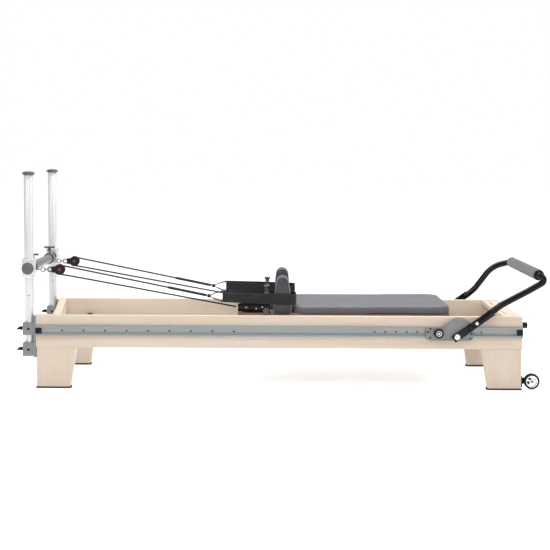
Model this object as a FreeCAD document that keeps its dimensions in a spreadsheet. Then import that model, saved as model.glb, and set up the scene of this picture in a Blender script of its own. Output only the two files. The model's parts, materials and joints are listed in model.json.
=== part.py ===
import FreeCAD, Part
import math
import os
import re
import Sketcher

# Pilates reformer, in millimetres.  X runs from the head end (-X, poles and pulleys) to the foot
# end (+X, footbar), Y across, +Z up.  The origin is on the floor, in the middle of the wooden frame.
# "near" is the -Y side and "far" the +Y side.

DIMS = [
    ("frame_length", 2400, "length of the wooden frame"),
    ("frame_width", 660, "outer width across the side boards"),
    ("frame_top", 364, "height of the top of the side boards"),
    ("board_height", 161, "height of a side board"),
    ("board_thickness", 30, "thickness of a side board"),
    ("head_board_thickness", 38, "thickness of the head board"),
    ("scoop_depth", 62, "dip in the middle of the head board"),
    ("scoop_half", 280, "half the width of the dip"),
    ("foot_board_thickness", 38, "thickness of the foot board"),
    ("platform_length", 90, "platform, along the frame"),
    ("platform_thickness", 22, "platform thickness"),
    ("slot_start", 103, "platform slot, from the middle of the frame"),
    ("slot_length", 117, "platform slot length"),
    ("slot_width", 10, "platform slot width"),
    ("slot_inset", 63, "platform slot, from the end of the frame"),
    ("leg_thickness", 45, "leg, across the frame"),
    ("leg_top_length", 196, "leg, along the frame, at its top"),
    ("leg_foot_length", 165, "leg, along the frame, at its foot"),
    ("leg_inset", 3, "leg, from the end of the frame"),
    ("foot_pad_thickness", 8, "rubber pad under a leg"),
    ("foot_pad_reach", 5, "pad, beyond the leg at each end"),
    ("beam_width", 60, "cross beam, along the frame"),
    ("beam_height", 34, "cross beam height"),
    ("beam_head_place", -560, "head cross beam"),
    ("beam_foot_place", 420, "foot cross beam"),
    ("track_height", 53, "outer track height"),
    ("track_depth", 14, "outer track, out from the side board"),
    ("track_middle", 288.5, "height of the middle of the track"),
    ("channel_height", 30, "channel along the track"),
    ("channel_depth", 9, "depth of the channel"),
    ("cap_length", 29, "end cap of the channel"),
    ("hole_radius", 4, "index hole in the track"),
    ("head_hole_inset", 130, "first index hole of the head run, from the end of the frame"),
    ("head_hole_pitch", 105.8, "pitch of the head run"),
    ("foot_hole_first", 470, "first index hole of the foot run"),
    ("foot_hole_pitch", 52.6, "pitch of the foot run"),
    ("screw_inset", 95, "first track screw, from the end of the frame"),
    ("screw_rise", 22, "track screw, above or below the middle"),
    ("screw_radius", 3.6, "track screw head radius"),
    ("screw_head", 1.2, "track screw head height"),
    ("rail_wall", 5, "inner rail wall"),
    ("rail_height", 19, "inner rail height"),
    ("rail_ledge", 40, "inner rail ledge width"),
    ("rail_top", 264, "height of the rolling surface"),
    ("stop_length", 24, "carriage stop, along the frame"),
    ("stop_height", 20, "carriage stop height"),
    ("head_stop_inset", 155, "head stop, from the end of the frame"),
    ("bumper_radius", 15, "end bumper radius"),
    ("bumper_length", 36, "end bumper length"),
    ("bumper_height", 314, "end bumper height above the floor"),
    ("bumper_inset", 68, "end bumper, inside the face of the side board"),
    ("spring_bar_inset", 200, "spring bar, from the end of the frame"),
    ("spring_bar_size", 22, "spring bar section"),
    ("spring_height", 262, "height of the spring axis"),
    ("spring_radius", 13, "outer radius of a spring"),
    ("spring_pitch", 88, "distance between springs"),
    ("pole_offset", 38, "pole axis, from the end of the frame"),
    ("pole_inset", 30, "pole axis, inside the face of the side board"),
    ("pole_radius", 22.5, "pole radius"),
    ("pole_bottom", 160, "height of the foot of a pole"),
    ("pole_top", 1055, "height of the top of a pole"),
    ("groove_width", 5, "groove along a pole"),
    ("groove_depth", 3, "depth of the groove"),
    ("pole_hole_radius", 3.5, "small cross holes in a pole"),
    ("pole_hole_low", 459, "height of the low cross hole"),
    ("pole_hole_high", 1040, "height of the high cross hole"),
    ("pole_cap_radius", 30.5, "pole cap radius"),
    ("pole_cap_height", 16, "pole cap height"),
    ("plate_thickness", 12, "pole bracket plate thickness"),
    ("plate_bottom", 153, "height of the foot of the plate"),
    ("plate_top", 359, "height of the top of the plate"),
    ("socket_size", 56, "pole socket block, across"),
    ("socket_wall", 5.5, "socket block wall on its head side"),
    ("socket_low_bottom", 159, "low socket, bottom"),
    ("socket_low_top", 224, "low socket, top"),
    ("socket_high_bottom", 264, "high socket, bottom"),
    ("socket_high_top", 324, "high socket, top"),
    ("stem_radius", 5, "hand screw stem radius"),
    ("stem_length", 24, "hand screw stem length"),
    ("wing_length", 52, "hand screw handle length"),
    ("wing_radius", 6, "hand screw handle radius"),
    ("cross_height", 593, "height of the crossbar axis"),
    ("cross_radius", 22.5, "crossbar radius"),
    ("clamp_width", 61, "crossbar clamp, across"),
    ("clamp_height", 95, "crossbar clamp height"),
    ("clamp_cap_radius", 30, "clamp cap radius"),
    ("clamp_cap_depth", 10, "clamp cap depth"),
    ("collar_radius", 29, "sliding collar radius"),
    ("collar_width", 44, "sliding collar width"),
    ("rope_inset", 38, "rope plane, inside the edge of the base board"),
    ("rope_radius", 4, "rope radius"),
    ("pulley_offset", 97, "pulley axis, inside the end of the frame"),
    ("pulley_drop", 16, "pulley axis, below the crossbar axis"),
    ("pulley_pitch_radius", 22, "rope centre line round the pulley"),
    ("pulley_rim", 2.5, "wheel rim above the rope centre line"),
    ("pulley_width", 13, "pulley wheel width"),
    ("pulley_pin_radius", 5, "pulley pin radius"),
    ("cheek_radius", 27, "pulley housing cheek radius"),
    ("cheek_thickness", 3.5, "pulley housing cheek thickness"),
    ("housing_reach", 39, "housing end, from the pulley axis"),
    ("housing_height", 30, "housing lug height"),
    ("bridge_length", 11, "housing bridge length"),
    ("ring_radius", 11, "link ring, centre line radius"),
    ("ring_wire", 2.6, "link ring wire radius"),
    ("link_gap", 0.25, "play between two links"),
    ("sleeve_radius", 7, "doubled rope radius"),
    ("sleeve_length", 205, "doubled rope length"),
    ("knot_place", -353, "rope knot, along the frame"),
    ("knot_height", 448, "rope knot height"),
    ("knot_radius", 11, "rope knot radius"),
    ("carriage_head", -208, "head end of the carriage"),
    ("carriage_length", 1065, "length of the carriage"),
    ("base_thickness", 20, "carriage base board thickness"),
    ("base_top", 365, "height of the top of the base board"),
    ("base_gap", 50, "base board, inside the side board"),
    ("base_step", 28, "base board, narrower at the head end on each side"),
    ("base_neck", 30, "where the base board widens"),
    ("pad_length", 792, "carriage pad length"),
    ("pad_overhang", 5, "carriage pad, beyond the base board on each side"),
    ("pad_thickness", 38, "carriage pad thickness"),
    ("pad_corner", 62, "carriage pad corner radius"),
    ("headrest_length", 253, "headrest length"),
    ("headrest_gap", 19, "play between the headrest and a shoulder rest"),
    ("headrest_thickness", 30, "headrest pad thickness"),
    ("headrest_board", 6, "headrest board thickness"),
    ("headrest_lift", 1.5, "headrest board, above the base board"),
    ("headrest_corner", 40, "headrest corner radius"),
    ("hinge_radius", 3, "headrest hinge pin radius"),
    ("hinge_place", 50, "headrest hinge, along the frame"),
    ("rest_inset", 58, "middle of the shoulder rest, inside the edge of the base board"),
    ("rest_width", 110, "shoulder rest width"),
    ("rest_head", -30, "head face of the shoulder rest at its base"),
    ("rest_depth", 92, "shoulder rest depth at its base"),
    ("rest_arch", 33, "radius of the shoulder rest arch"),
    ("rest_top", 548, "height of the shoulder rest"),
    ("post_inset", 66, "strap post, inside the edge of the base board"),
    ("post_forward", -63, "strap post, along the frame"),
    ("post_base_radius", 11.5, "strap post, lower cylinder"),
    ("post_shaft_radius", 9, "strap post, spool shaft"),
    ("post_flange_radius", 16, "strap post flange radius"),
    ("post_flange", 6, "strap post flange thickness"),
    ("post_waist", 452, "height of the lower flange"),
    ("post_top", 500, "height of the strap post"),
    ("arm_width", 24, "rope arm width"),
    ("arm_top", 412, "height of the rope arm"),
    ("arm_foot", -46, "foot end of the rope arm"),
    ("arm_nose", 372, "height of the underside of the arm's nose"),
    ("nozzle_length", 7, "rope nozzle length"),
    ("nozzle_radius", 6.5, "rope nozzle radius"),
    ("nozzle_height", 394, "height of the rope nozzle"),
    ("arm_knob_radius", 16, "rope arm knob radius"),
    ("arm_knob_length", 20, "rope arm knob length"),
    ("arm_knob_place", -66, "rope arm knob, along the frame"),
    ("arm_knob_height", 374, "height of the rope arm knob"),
    ("loop_outer", 60, "half width of a loop round its shoulder rest"),
    ("loop_band", 3, "loop webbing thickness"),
    ("loop_height", 54, "loop webbing width"),
    ("loop_bottom", 407, "height of the loop's lower edge"),
    ("loop_front", 86, "foot end of the loop"),
    ("loop_corner", 30, "radius of the loop's corners"),
    ("loop_shoulder", -95, "where the loop starts to narrow"),
    ("loop_tip", -285, "head end of the loop"),
    ("loop_tip_half", 20, "half width of the loop at its tip"),
    ("loop_tilt", 1.9, "rise of the loop towards its tip, in degrees"),
    ("loop_bar_radius", 3.5, "bar in the loop's tip"),
    ("loop_cord_radius", 2.4, "thin cord from the knot to the bar"),
    ("roller_radius", 18, "carriage roller radius"),
    ("roller_width", 24, "carriage roller width"),
    ("roller_inset", 9, "roller, from the rail wall"),
    ("roller_head_place", 70, "head rollers, along the frame"),
    ("roller_foot_place", 780, "foot rollers, along the frame"),
    ("roller_axle_radius", 5, "roller axle radius"),
    ("roller_gap", 0.3, "roller, above the rail"),
    ("bracket_length", 46, "roller bracket, along the frame"),
    ("bracket_thickness", 8, "roller bracket thickness"),
    ("anchor_place", 470, "head face of the spring anchor"),
    ("anchor_size", 18, "spring anchor section"),
    ("pivot_place", 873, "footbar pivot, along the frame"),
    ("pivot_height", 269, "footbar pivot height"),
    ("pivot_radius", 8, "footbar pivot bolt radius"),
    ("sector_gap", 3, "sector plate, out from the track"),
    ("sector_thickness", 6, "sector plate thickness"),
    ("sector_radius", 95, "sector plate radius"),
    ("sector_tail", 152, "sector plate, towards the head"),
    ("sector_nose", 80, "sector plate, towards the foot"),
    ("sector_rise", 45, "sector plate tail, above the pivot"),
    ("sector_drop", 20, "sector plate, below the pivot"),
    ("index_radius", 79, "circle of the index holes"),
    ("index_first", 35.6, "lowest index hole, in degrees"),
    ("index_step", 19, "angle between index holes"),
    ("index_pin_radius", 5, "index pin radius"),
    ("index_knob_radius", 10, "index pin knob radius"),
    ("arm_gap", 5, "footbar arm, out from the sector plate"),
    ("bar_arm_width", 35, "footbar arm width"),
    ("bar_arm_thickness", 8, "footbar arm thickness"),
    ("bar_arm_length", 210, "footbar arm, pivot to its far end"),
    ("bar_arm_tail", 22, "footbar arm, behind the pivot"),
    ("bar_radius", 16, "footbar tube radius"),
    ("bar_bend", 19, "footbar tube bend radius at the grip"),
    ("bar_sweep", 150, "footbar tube gentle bend radius"),
    ("grip_forward", 404, "grip axis, from the pivot, along the frame"),
    ("grip_rise", 303, "grip axis, above the pivot"),
    ("foam_radius", 27.5, "grip foam radius"),
    ("grip_ring", 2.8, "grip end ring width"),
    ("grip_ring_radius", 23, "grip end ring radius"),
    ("washer_radius", 14, "pivot washer radius"),
    ("washer_thickness", 3, "pivot washer thickness"),
    ("track_knob_place", -92, "track knob, from the pivot"),
    ("track_knob_radius", 25, "track knob radius"),
    ("track_knob_length", 36, "track knob length"),
    ("track_pin_radius", 6, "track knob pin radius"),
    ("wheel_radius", 39, "transport wheel radius"),
    ("wheel_width", 22, "transport wheel width"),
    ("wheel_height", 42, "transport wheel axle height"),
    ("wheel_reach", 52, "transport wheel axle, beyond the frame"),
    ("wheel_inset", 18, "transport wheel, inside the face of the side board"),
    ("wheel_axle_radius", 5, "transport wheel axle radius"),
    ("fork_thickness", 6, "wheel bracket thickness"),
    ("running_gap", 0.06, "radial play of what turns or slides"),
    ("clear_gap", 0.4, "play between pieces that pass each other"),
    ("over", 1, "reach of a cutting body beyond what it cuts"),
    ("plate_margin", 4, "bracket plate, wider than its socket blocks"),
    ("groove_shift", 4, "groove and cross holes, from the pole axis"),
    ("dome_flatness", 1.12, "dome radius of a cap, against a full dome's"),
    ("arm_nose_length", 60, "rising underside of the rope arm"),
    ("arm_bevel", 28, "bevel along the top of the arm's nose"),
    ("arm_bevel_drop", 5, "bevel height at the arm's nose"),
    ("bracket_clearance", 4, "roller bracket, above the rail"),
    ("tray_margin", 6, "headrest board, inside the headrest's edge"),
    ("hinge_leaf", 20, "hinge leaf, under the headrest board"),
    ("arm_bolt_place", 117, "arm bolt, from the pivot"),
    ("arm_bolt_head", 5, "arm bolt head height"),
    ("index_guide", 14, "index pin guide length"),
    ("index_guide_wall", 2, "index pin guide wall"),
    ("index_knob_length", 12, "index pin knob length"),
    ("tongue_start", 110, "flat tongue of the footbar tube, from the pivot"),
    ("tongue_end", 232, "end of the tongue, from the pivot"),
    ("tongue_width", 26, "tongue width"),
    ("tongue_thickness", 6, "tongue thickness"),
    ("collar_handle", 62, "crossbar screw handle length"),
    ("collar_stem", 6, "crossbar screw, longer than a hand screw"),
    ("wheel_plate", 52, "wheel bracket plate height"),
]

# places across and along the frame that follow its size
FOLLOWS = {
    "pole_place": "(frame_width / 2 - pole_inset)",
    "wheel_place": "(frame_width / 2 - wheel_inset)",
    "bumper_place": "(frame_width / 2 - bumper_inset)",
    "base_half": "(frame_width / 2 - board_thickness - base_gap)",
    "base_head_half": "(base_half - base_step)",
    "pad_half": "(base_half + pad_overhang)",
    "rope_place": "(base_half - rope_inset)",
    "rest_place": "(base_half - rest_inset)",
    "post_place": "(base_half - post_inset)",
    "headrest_half": "(rest_place - rest_width / 2 - headrest_gap)",
    "spring_bar_place": "(frame_length / 2 - spring_bar_inset)",
    "head_stop_place": "(head_stop_inset - frame_length / 2)",
    "head_hole_first": "(head_hole_inset - frame_length / 2)",
}

doc = FreeCAD.newDocument("PilatesReformer")
sheet = doc.addObject("Spreadsheet::Sheet", "Dims")
for row, (alias, number, note) in enumerate(DIMS, 1):
    sheet.set(f"A{row}", note)
    sheet.set(f"B{row}", str(number))
    sheet.setAlias(f"B{row}", alias)
doc.recompute()

ALIASES = {alias for alias, _, _ in DIMS}
NODES = []
AXES = {
    "x": FreeCAD.Rotation(FreeCAD.Vector(0, 1, 0), 90),
    "y": FreeCAD.Rotation(FreeCAD.Vector(1, 0, 0), -90),
    "z": FreeCAD.Rotation(),
}
SIDES = {"near": -1, "far": 1}


def cell(match):
    word = match[0]
    if word in FOLLOWS:
        return named(FOLLOWS[word])
    return f"Dims.{word}" if word in ALIASES else word


def named(text):
    """The expression with each alias written as a cell of the sheet."""
    return re.sub(r"[a-z_]+", cell, str(text))


def value(text):
    return float(sheet.evalExpression(named(text)))


def bind(obj, prop, text):
    obj.setExpression(prop, named(text))


def minus(text, less):
    return f"({text}) - ({less})"


def outward(side, low, high):
    """A span across the frame, measured from its middle, on one side."""
    return (low, high) if side > 0 else (f"-({high})", f"-({low})")


def at_side(side, text):
    return text if side > 0 else f"-({text})"


def box(x, y, z):
    """A box between (low, high) on each axis."""
    made = doc.addObject("Part::Box", "Box")
    for prop, axis, (low, high) in zip(("Length", "Width", "Height"), "xyz", (x, y, z)):
        bind(made, prop, minus(high, low))
        bind(made, f"Placement.Base.{axis}", low)
    return made


def place(made, axis, low, across):
    """Lays an object that was made along Z along another axis, from low, at its place across."""
    made.Placement.Rotation = AXES[axis]
    for name, text in zip((a for a in "xyz" if a != axis), across):
        bind(made, f"Placement.Base.{name}", text)
    bind(made, f"Placement.Base.{axis}", low)
    return made


def rod(axis, radius, span, across):
    """A cylinder along an axis, over a (low, high) span; across is its place on the other axes."""
    made = doc.addObject("Part::Cylinder", "Rod")
    bind(made, "Radius", radius)
    bind(made, "Height", minus(span[1], span[0]))
    return place(made, axis, span[0], across)


def ring(axis, radius, wire, x, y, z):
    made = doc.addObject("Part::Torus", "Ring")
    bind(made, "Radius1", radius)
    bind(made, "Radius2", wire)
    made.Placement.Rotation = AXES[axis]
    for name, text in zip("xyz", (x, y, z)):
        bind(made, f"Placement.Base.{name}", text)
    return made


def ball(radius, x, y, z):
    made = doc.addObject("Part::Sphere", "Ball")
    bind(made, "Radius", radius)
    for name, text in zip("xyz", (x, y, z)):
        bind(made, f"Placement.Base.{name}", text)
    return made


def fuse(*pieces):
    made = doc.addObject("Part::MultiFuse", "Fuse")
    made.Shapes = list(pieces)
    return made


def common(*pieces):
    made = doc.addObject("Part::MultiCommon", "Common")
    made.Shapes = list(pieces)
    return made


def group(*pieces):
    made = doc.addObject("Part::Compound", "Group")
    made.Links = list(pieces)
    return made


def cut(base, *tools):
    made = doc.addObject("Part::Cut", "Cut")
    made.Base = base
    made.Tool = tools[0] if len(tools) == 1 else group(*tools)
    return made


def solid(shape, name="Solid"):
    made = doc.addObject("Part::Feature", name)
    made.Shape = shape
    return made


def node(name, made):
    made.Label = name
    NODES.append(made)
    return made


def prism(plane, points, span, corner=None):
    """A body whose outline lies in a plane and which runs over a (low, high) span along the plane's
    axis.  corner is the radius of the edges that run along that axis."""
    body = doc.addObject("PartDesign::Body", "Prism")
    sketch = body.newObject("Sketcher::SketchObject", "Outline")
    role = plane + "_Plane"
    sketch.AttachmentSupport = [(next(o for o in body.Origin.OriginFeatures if o.Role == role), "")]
    sketch.MapMode = "FlatFace"
    start = f"-({span[1]})" if plane == "XZ" else span[0]
    bind(sketch, "AttachmentOffset.Base.z", start)
    corners = [FreeCAD.Vector(value(u), value(v), 0) for u, v in points]
    for here, there in zip(corners, corners[1:] + corners[:1]):
        sketch.addGeometry(Part.LineSegment(here, there))
    count = len(corners)
    for i in range(count):
        sketch.addConstraint(Sketcher.Constraint("Coincident", i, 2, (i + 1) % count, 1))
    for i, (u, v) in enumerate(points):
        for kind, text, number in (("DistanceX", u, corners[i].x), ("DistanceY", v, corners[i].y)):
            index = sketch.addConstraint(Sketcher.Constraint(kind, -1, 1, i, 1, number))
            bind(sketch, f"Constraints[{index}]", text)
    pad = body.newObject("PartDesign::Pad", "Pad")
    pad.Profile = sketch
    bind(pad, "Length", minus(span[1], span[0]))
    if corner:
        doc.recompute()
        axis = {"XY": FreeCAD.Vector(0, 0, 1), "XZ": FreeCAD.Vector(0, 1, 0)}[plane]
        edges = []
        for number, edge in enumerate(pad.Shape.Edges, 1):
            if abs(edge.tangentAt(edge.FirstParameter).dot(axis)) > 0.999:
                edges.append(f"Edge{number}")
        rounded = body.newObject("PartDesign::Fillet", "Corners")
        rounded.Base = (pad, edges)
        bind(rounded, "Radius", corner)
    return body


def bent_path(points, radii):
    """Straight runs joined by tangent arcs.  radii holds the radius at each inner point."""
    edges = []
    start = points[0]
    for before, corner, after, radius in zip(points, points[1:], points[2:], radii):
        into = (corner - before).normalize()
        out = (after - corner).normalize()
        turn = into.getAngle(out)
        back = radius * math.tan(turn / 2)
        first = corner - into * back
        last = corner + out * back
        toward = (out - into).normalize()
        middle = corner + toward * (radius / math.cos(turn / 2) - radius)
        edges.append(Part.LineSegment(start, first).toShape())
        edges.append(Part.Arc(first, middle, last).toShape())
        start = last
    edges.append(Part.LineSegment(start, points[-1]).toShape())
    return Part.Wire(edges)


def tube_along(path, radius):
    first = path.OrderedEdges[0]
    direction = first.tangentAt(first.FirstParameter)
    circle = Part.Circle(path.OrderedVertexes[0].Point, direction, radius)
    return path.makePipeShell([Part.Wire(circle.toShape())], True, True)


def tangent_point(outside, centre, radius, turn):
    """Where a line from a point in the XZ plane touches a circle; turn is +1 or -1."""
    away = outside - centre
    swing = math.acos(radius / away.Length)
    angle = math.atan2(away.z, away.x) + turn * swing
    return centre + FreeCAD.Vector(math.cos(angle), 0, math.sin(angle)) * radius


# places that several pieces share
END = "frame_length / 2"
SIDE = "frame_width / 2"
INSIDE = "frame_width / 2 - board_thickness"
BOARD_BOTTOM = "frame_top - board_height"
TRACK_FACE = "frame_width / 2 + track_depth"
CHANNEL_FLOOR = "frame_width / 2 + track_depth - channel_depth"
POLE_X = "-(frame_length / 2) - pole_offset"
SOCKET_HEAD = "-(frame_length / 2) - pole_offset - pole_radius - socket_wall"
PULLEY_X = "-(frame_length / 2) + pulley_offset"
PULLEY_Z = "cross_height - pulley_drop"
HOUSING_END = "-(frame_length / 2) + pulley_offset - housing_reach"
BASE_BOTTOM = "base_top - base_thickness"
CARRIAGE_FOOT = "carriage_head + carriage_length"
PAD_TOP = "base_top + pad_thickness"
ROLLER_Z = "rail_top + roller_radius + roller_gap"
ROLLER_OUT = "frame_width / 2 - board_thickness - rail_wall - roller_inset"
SECTOR_IN = "frame_width / 2 + track_depth + sector_gap"
SECTOR_OUT = "frame_width / 2 + track_depth + sector_gap + sector_thickness"
ARM_IN = "frame_width / 2 + track_depth + sector_gap + sector_thickness + arm_gap"
ARM_OUT = ARM_IN + " + bar_arm_thickness"
BAR_PLACE = ARM_IN + " - bar_radius"
WHEEL_X = "frame_length / 2 + wheel_reach"


def around(middle, width):
    return (f"({middle}) - ({width}) / 2", f"({middle}) + ({width}) / 2")


def symmetric(half):
    return (f"-({half})", half)


def both(make):
    """One group with what make(side) gives for the near and the far side."""
    return group(*(make(side) for side in SIDES.values()))


# ---- wooden frame


def side_board(side):
    return box(symmetric(END), outward(side, INSIDE, SIDE), (BOARD_BOTTOM, "frame_top"))


def head_board():
    across = symmetric(INSIDE)
    board = box((f"-({END})", f"-({END}) + head_board_thickness"), across, (BOARD_BOTTOM, "frame_top"))
    bow = "(scoop_half ^ 2 + scoop_depth ^ 2) / (2 * scoop_depth)"
    reach = (f"-({END}) - 1", f"-({END}) + head_board_thickness + over")
    scoop = rod("x", bow, reach, ("0", f"frame_top - scoop_depth + {bow}"))
    return cut(board, scoop)


def foot_board():
    top = "frame_top - platform_thickness"
    return box((f"{END} - foot_board_thickness", END), symmetric(INSIDE), (BOARD_BOTTOM, top))


def platform_slot(side):
    middle = f"{END} - slot_inset"
    deep = ("frame_top - platform_thickness - over", "frame_top + over")
    first = "slot_start + slot_width / 2"
    last = "slot_start + slot_length - slot_width / 2"
    straight = box(around(middle, "slot_width"), outward(side, first, last), deep)
    ends = [rod("z", "slot_width / 2", deep, (middle, at_side(side, end))) for end in (first, last)]
    return fuse(straight, *ends)


def foot_platform():
    span = (f"{END} - platform_length", END)
    board = box(span, symmetric(INSIDE), ("frame_top - platform_thickness", "frame_top"))
    return cut(board, *(platform_slot(side) for side in SIDES.values()))


def leg(end, side):
    outer = f"{END} - leg_inset"
    outline = [
        (f"{end} * ({outer})", "foot_pad_thickness"),
        (f"{end} * ({outer})", BOARD_BOTTOM),
        (f"{end} * ({outer} - leg_top_length)", BOARD_BOTTOM),
        (f"{end} * ({outer} - leg_foot_length)", "foot_pad_thickness"),
    ]
    return prism("XZ", outline, outward(side, f"{SIDE} - leg_thickness", SIDE))


def foot_pad(end, side):
    outer = f"{END} - leg_inset + foot_pad_reach"
    inner = f"{END} - leg_inset - leg_foot_length - foot_pad_reach"
    ends = (f"{end} * ({outer})", f"{end} * ({inner})")
    x = ends if end < 0 else ends[::-1]
    across = outward(side, f"{SIDE} - leg_thickness", SIDE)
    outline = [(x[0], across[0]), (x[1], across[0]), (x[1], across[1]), (x[0], across[1])]
    return prism("XY", outline, ("0", "foot_pad_thickness"), "foot_pad_reach * 2")


def cross_beam(middle):
    low = f"{BOARD_BOTTOM} + foot_pad_thickness"
    heights = (low, f"{low} + beam_height")
    return box(around(middle, "beam_width"), symmetric(INSIDE), heights)


def make_frame():
    corners = [(end, side) for end in (-1, 1) for side in (-1, 1)]
    node("side_boards", both(side_board))
    node("head_board", head_board())
    node("foot_board", foot_board())
    node("foot_platform", foot_platform())
    node("legs", group(*(leg(end, side) for end, side in corners)))
    node("foot_pads", group(*(foot_pad(end, side) for end, side in corners)))
    node("cross_beams", group(cross_beam("beam_head_place"), cross_beam("beam_foot_place")))


# ---- tracks, rails and stops


def hole_places():
    head = [f"head_hole_first + {i} * head_hole_pitch" for i in range(9)]
    foot = [f"foot_hole_first + {i} * foot_hole_pitch" for i in range(11)]
    return head + foot


def track(side):
    heights = around("track_middle", "track_height")
    bar = box(symmetric(END), outward(side, SIDE, TRACK_FACE), heights)
    channel_heights = around("track_middle", "channel_height")
    reach = symmetric(f"{END} + over")
    channel = box(reach, outward(side, CHANNEL_FLOOR, f"{TRACK_FACE} + over"), channel_heights)
    deep = outward(side, f"{SIDE} - over", f"{CHANNEL_FLOOR} + over")
    holes = [rod("y", "hole_radius", deep, (x, "track_middle")) for x in hole_places()]
    return cut(bar, channel, *holes)


def track_cap(end, side):
    ends = (f"{end} * ({END})", f"{end} * ({END} - cap_length)")
    x = ends if end < 0 else ends[::-1]
    across = outward(side, CHANNEL_FLOOR, f"{TRACK_FACE} + over")
    return box(x, across, around("track_middle", "channel_height"))


def track_screws():
    count = 16
    pitch = f"(frame_length - 2 * screw_inset) / {count - 1}"
    heads = []
    for side in SIDES.values():
        out = outward(side, TRACK_FACE, f"{TRACK_FACE} + screw_head")
        for i in range(count):
            x = f"-({END}) + screw_inset + {i} * {pitch}"
            for rise in (-1, 1):
                z = f"track_middle + ({rise}) * screw_rise"
                heads.append(rod("y", "screw_radius", out, (x, z)))
    return group(*heads)


def inner_rail(side):
    length = (f"-({END}) + head_board_thickness", f"{END} - foot_board_thickness")
    heights = ("rail_top - rail_height", "rail_top")
    wall = box(length, outward(side, f"{INSIDE} - rail_wall", INSIDE), heights)
    ledge_span = outward(side, f"{INSIDE} - rail_ledge", INSIDE)
    ledge = box(length, ledge_span, ("rail_top - rail_wall", "rail_top"))
    return fuse(wall, ledge)


def rubber_stops():
    stops = []
    foot_start = "roller_foot_place + roller_radius + clear_gap"
    across = (f"{ROLLER_OUT} - roller_width", INSIDE)
    heights = ("rail_top", "rail_top + stop_height")
    for side in SIDES.values():
        for start in ("head_stop_place", foot_start):
            stops.append(box((start, f"{start} + stop_length"), outward(side, *across), heights))
        span = (END, f"{END} + bumper_length")
        where = (at_side(side, "bumper_place"), "bumper_height")
        stops.append(rod("x", "bumper_radius", span, where))
    return group(*stops)


def make_tracks():
    node("tracks", both(track))
    caps = [track_cap(end, side) for end in (-1, 1) for side in (-1, 1)]
    node("track_end_caps", group(*caps))
    node("track_screws", track_screws())
    node("inner_rails", both(inner_rail))
    node("rubber_stops", rubber_stops())
    x = ("spring_bar_place", "spring_bar_place + spring_bar_size")
    across = symmetric(f"{INSIDE} - rail_ledge")
    node("spring_bar", box(x, across, around("spring_height", "spring_bar_size")))


# ---- poles and their brackets

SOCKETS = {
    "low": ("socket_low_bottom", "socket_low_top"),
    "high": ("socket_high_bottom", "socket_high_top"),
}


def middle_of(span):
    return f"({span[0]} + {span[1]}) / 2"


def pole_bracket(side):
    where = at_side(side, "pole_place")
    plate_x = (f"-({END}) - plate_thickness", f"-({END})")
    plate = box(plate_x, around(where, "socket_size + plate_margin"), ("plate_bottom", "plate_top"))
    blocks = []
    holes = []
    for span in SOCKETS.values():
        x = (SOCKET_HEAD, f"-({END}) - plate_thickness")
        blocks.append(box(x, around(where, "socket_size"), span))
        stem_span = (f"{SOCKET_HEAD} - over", POLE_X)
        holes.append(rod("x", "stem_radius + running_gap", stem_span, (where, middle_of(span))))
    bore = rod("z", "pole_radius", ("plate_bottom - over", "plate_top + over"), (POLE_X, where))
    return cut(fuse(plate, *blocks), bore, *holes)


def pole(side):
    where = at_side(side, "pole_place")
    shaft = rod("z", "pole_radius", ("pole_bottom", "pole_top"), (POLE_X, where))
    face = f"{where} - pole_radius"
    slot_x = around(f"{POLE_X} - groove_shift", "groove_width")
    deep = (f"{face} - over", f"{face} + groove_depth")
    groove = box(slot_x, deep, ("pole_bottom - over", "pole_top + over"))
    through = around(where, "2 * (pole_radius + over)")
    hole_x = f"{POLE_X} + groove_shift"
    holes = [rod("y", "pole_hole_radius", through, (hole_x, z)) for z in ("pole_hole_low", "pole_hole_high")]
    return cut(shaft, groove, *holes)


def pole_cap(side):
    span = ("pole_top", "pole_top + pole_cap_height")
    where = (POLE_X, at_side(side, "pole_place"))
    disc = rod("z", "pole_cap_radius", span, where)
    bow = "(pole_cap_radius ^ 2 + pole_cap_height ^ 2) / (2 * pole_cap_height) * dome_flatness"
    dome = ball(bow, *where, f"pole_top + pole_cap_height - ({bow})")
    return common(disc, dome)


def wing_screw(side, span):
    where = at_side(side, "pole_place")
    height = middle_of(span)
    tip = f"{POLE_X} - pole_radius - clear_gap"
    handle = f"{SOCKET_HEAD} - stem_length"
    shank = rod("x", "stem_radius", (handle, tip), (where, height))
    boss = rod("x", "stem_radius * 2", (handle, f"{SOCKET_HEAD} - clear_gap - wing_radius"), (where, height))
    wing = rod("y", "wing_radius", around(where, "wing_length"), (handle, height))
    return fuse(shank, boss, wing)


def make_poles():
    node("pole_brackets", both(pole_bracket))
    node("poles", both(pole))
    node("pole_caps", both(pole_cap))
    for name, side in SIDES.items():
        for level, span in SOCKETS.items():
            node(f"wing_screw_{name}_{level}", wing_screw(side, span))


# ---- crossbar with its pulleys

CLAMP_IN = "pole_place - clamp_width / 2"
CLAMP_OUT = "pole_place + clamp_width / 2"


def clamp(side):
    where = at_side(side, "pole_place")
    heights = around("cross_height", "clamp_height")
    x = around(POLE_X, "clamp_width")
    outline = [(x[0], f"{where} - clamp_width / 2"), (x[1], f"{where} - clamp_width / 2")]
    outline += [(x[1], f"{where} + clamp_width / 2"), (x[0], f"{where} + clamp_width / 2")]
    block = prism("XY", outline, heights, "clamp_width / 6")
    reach = ("cross_height - clamp_height", "cross_height + clamp_height")
    return cut(block, rod("z", "pole_radius + running_gap", reach, (POLE_X, where)))


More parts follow.
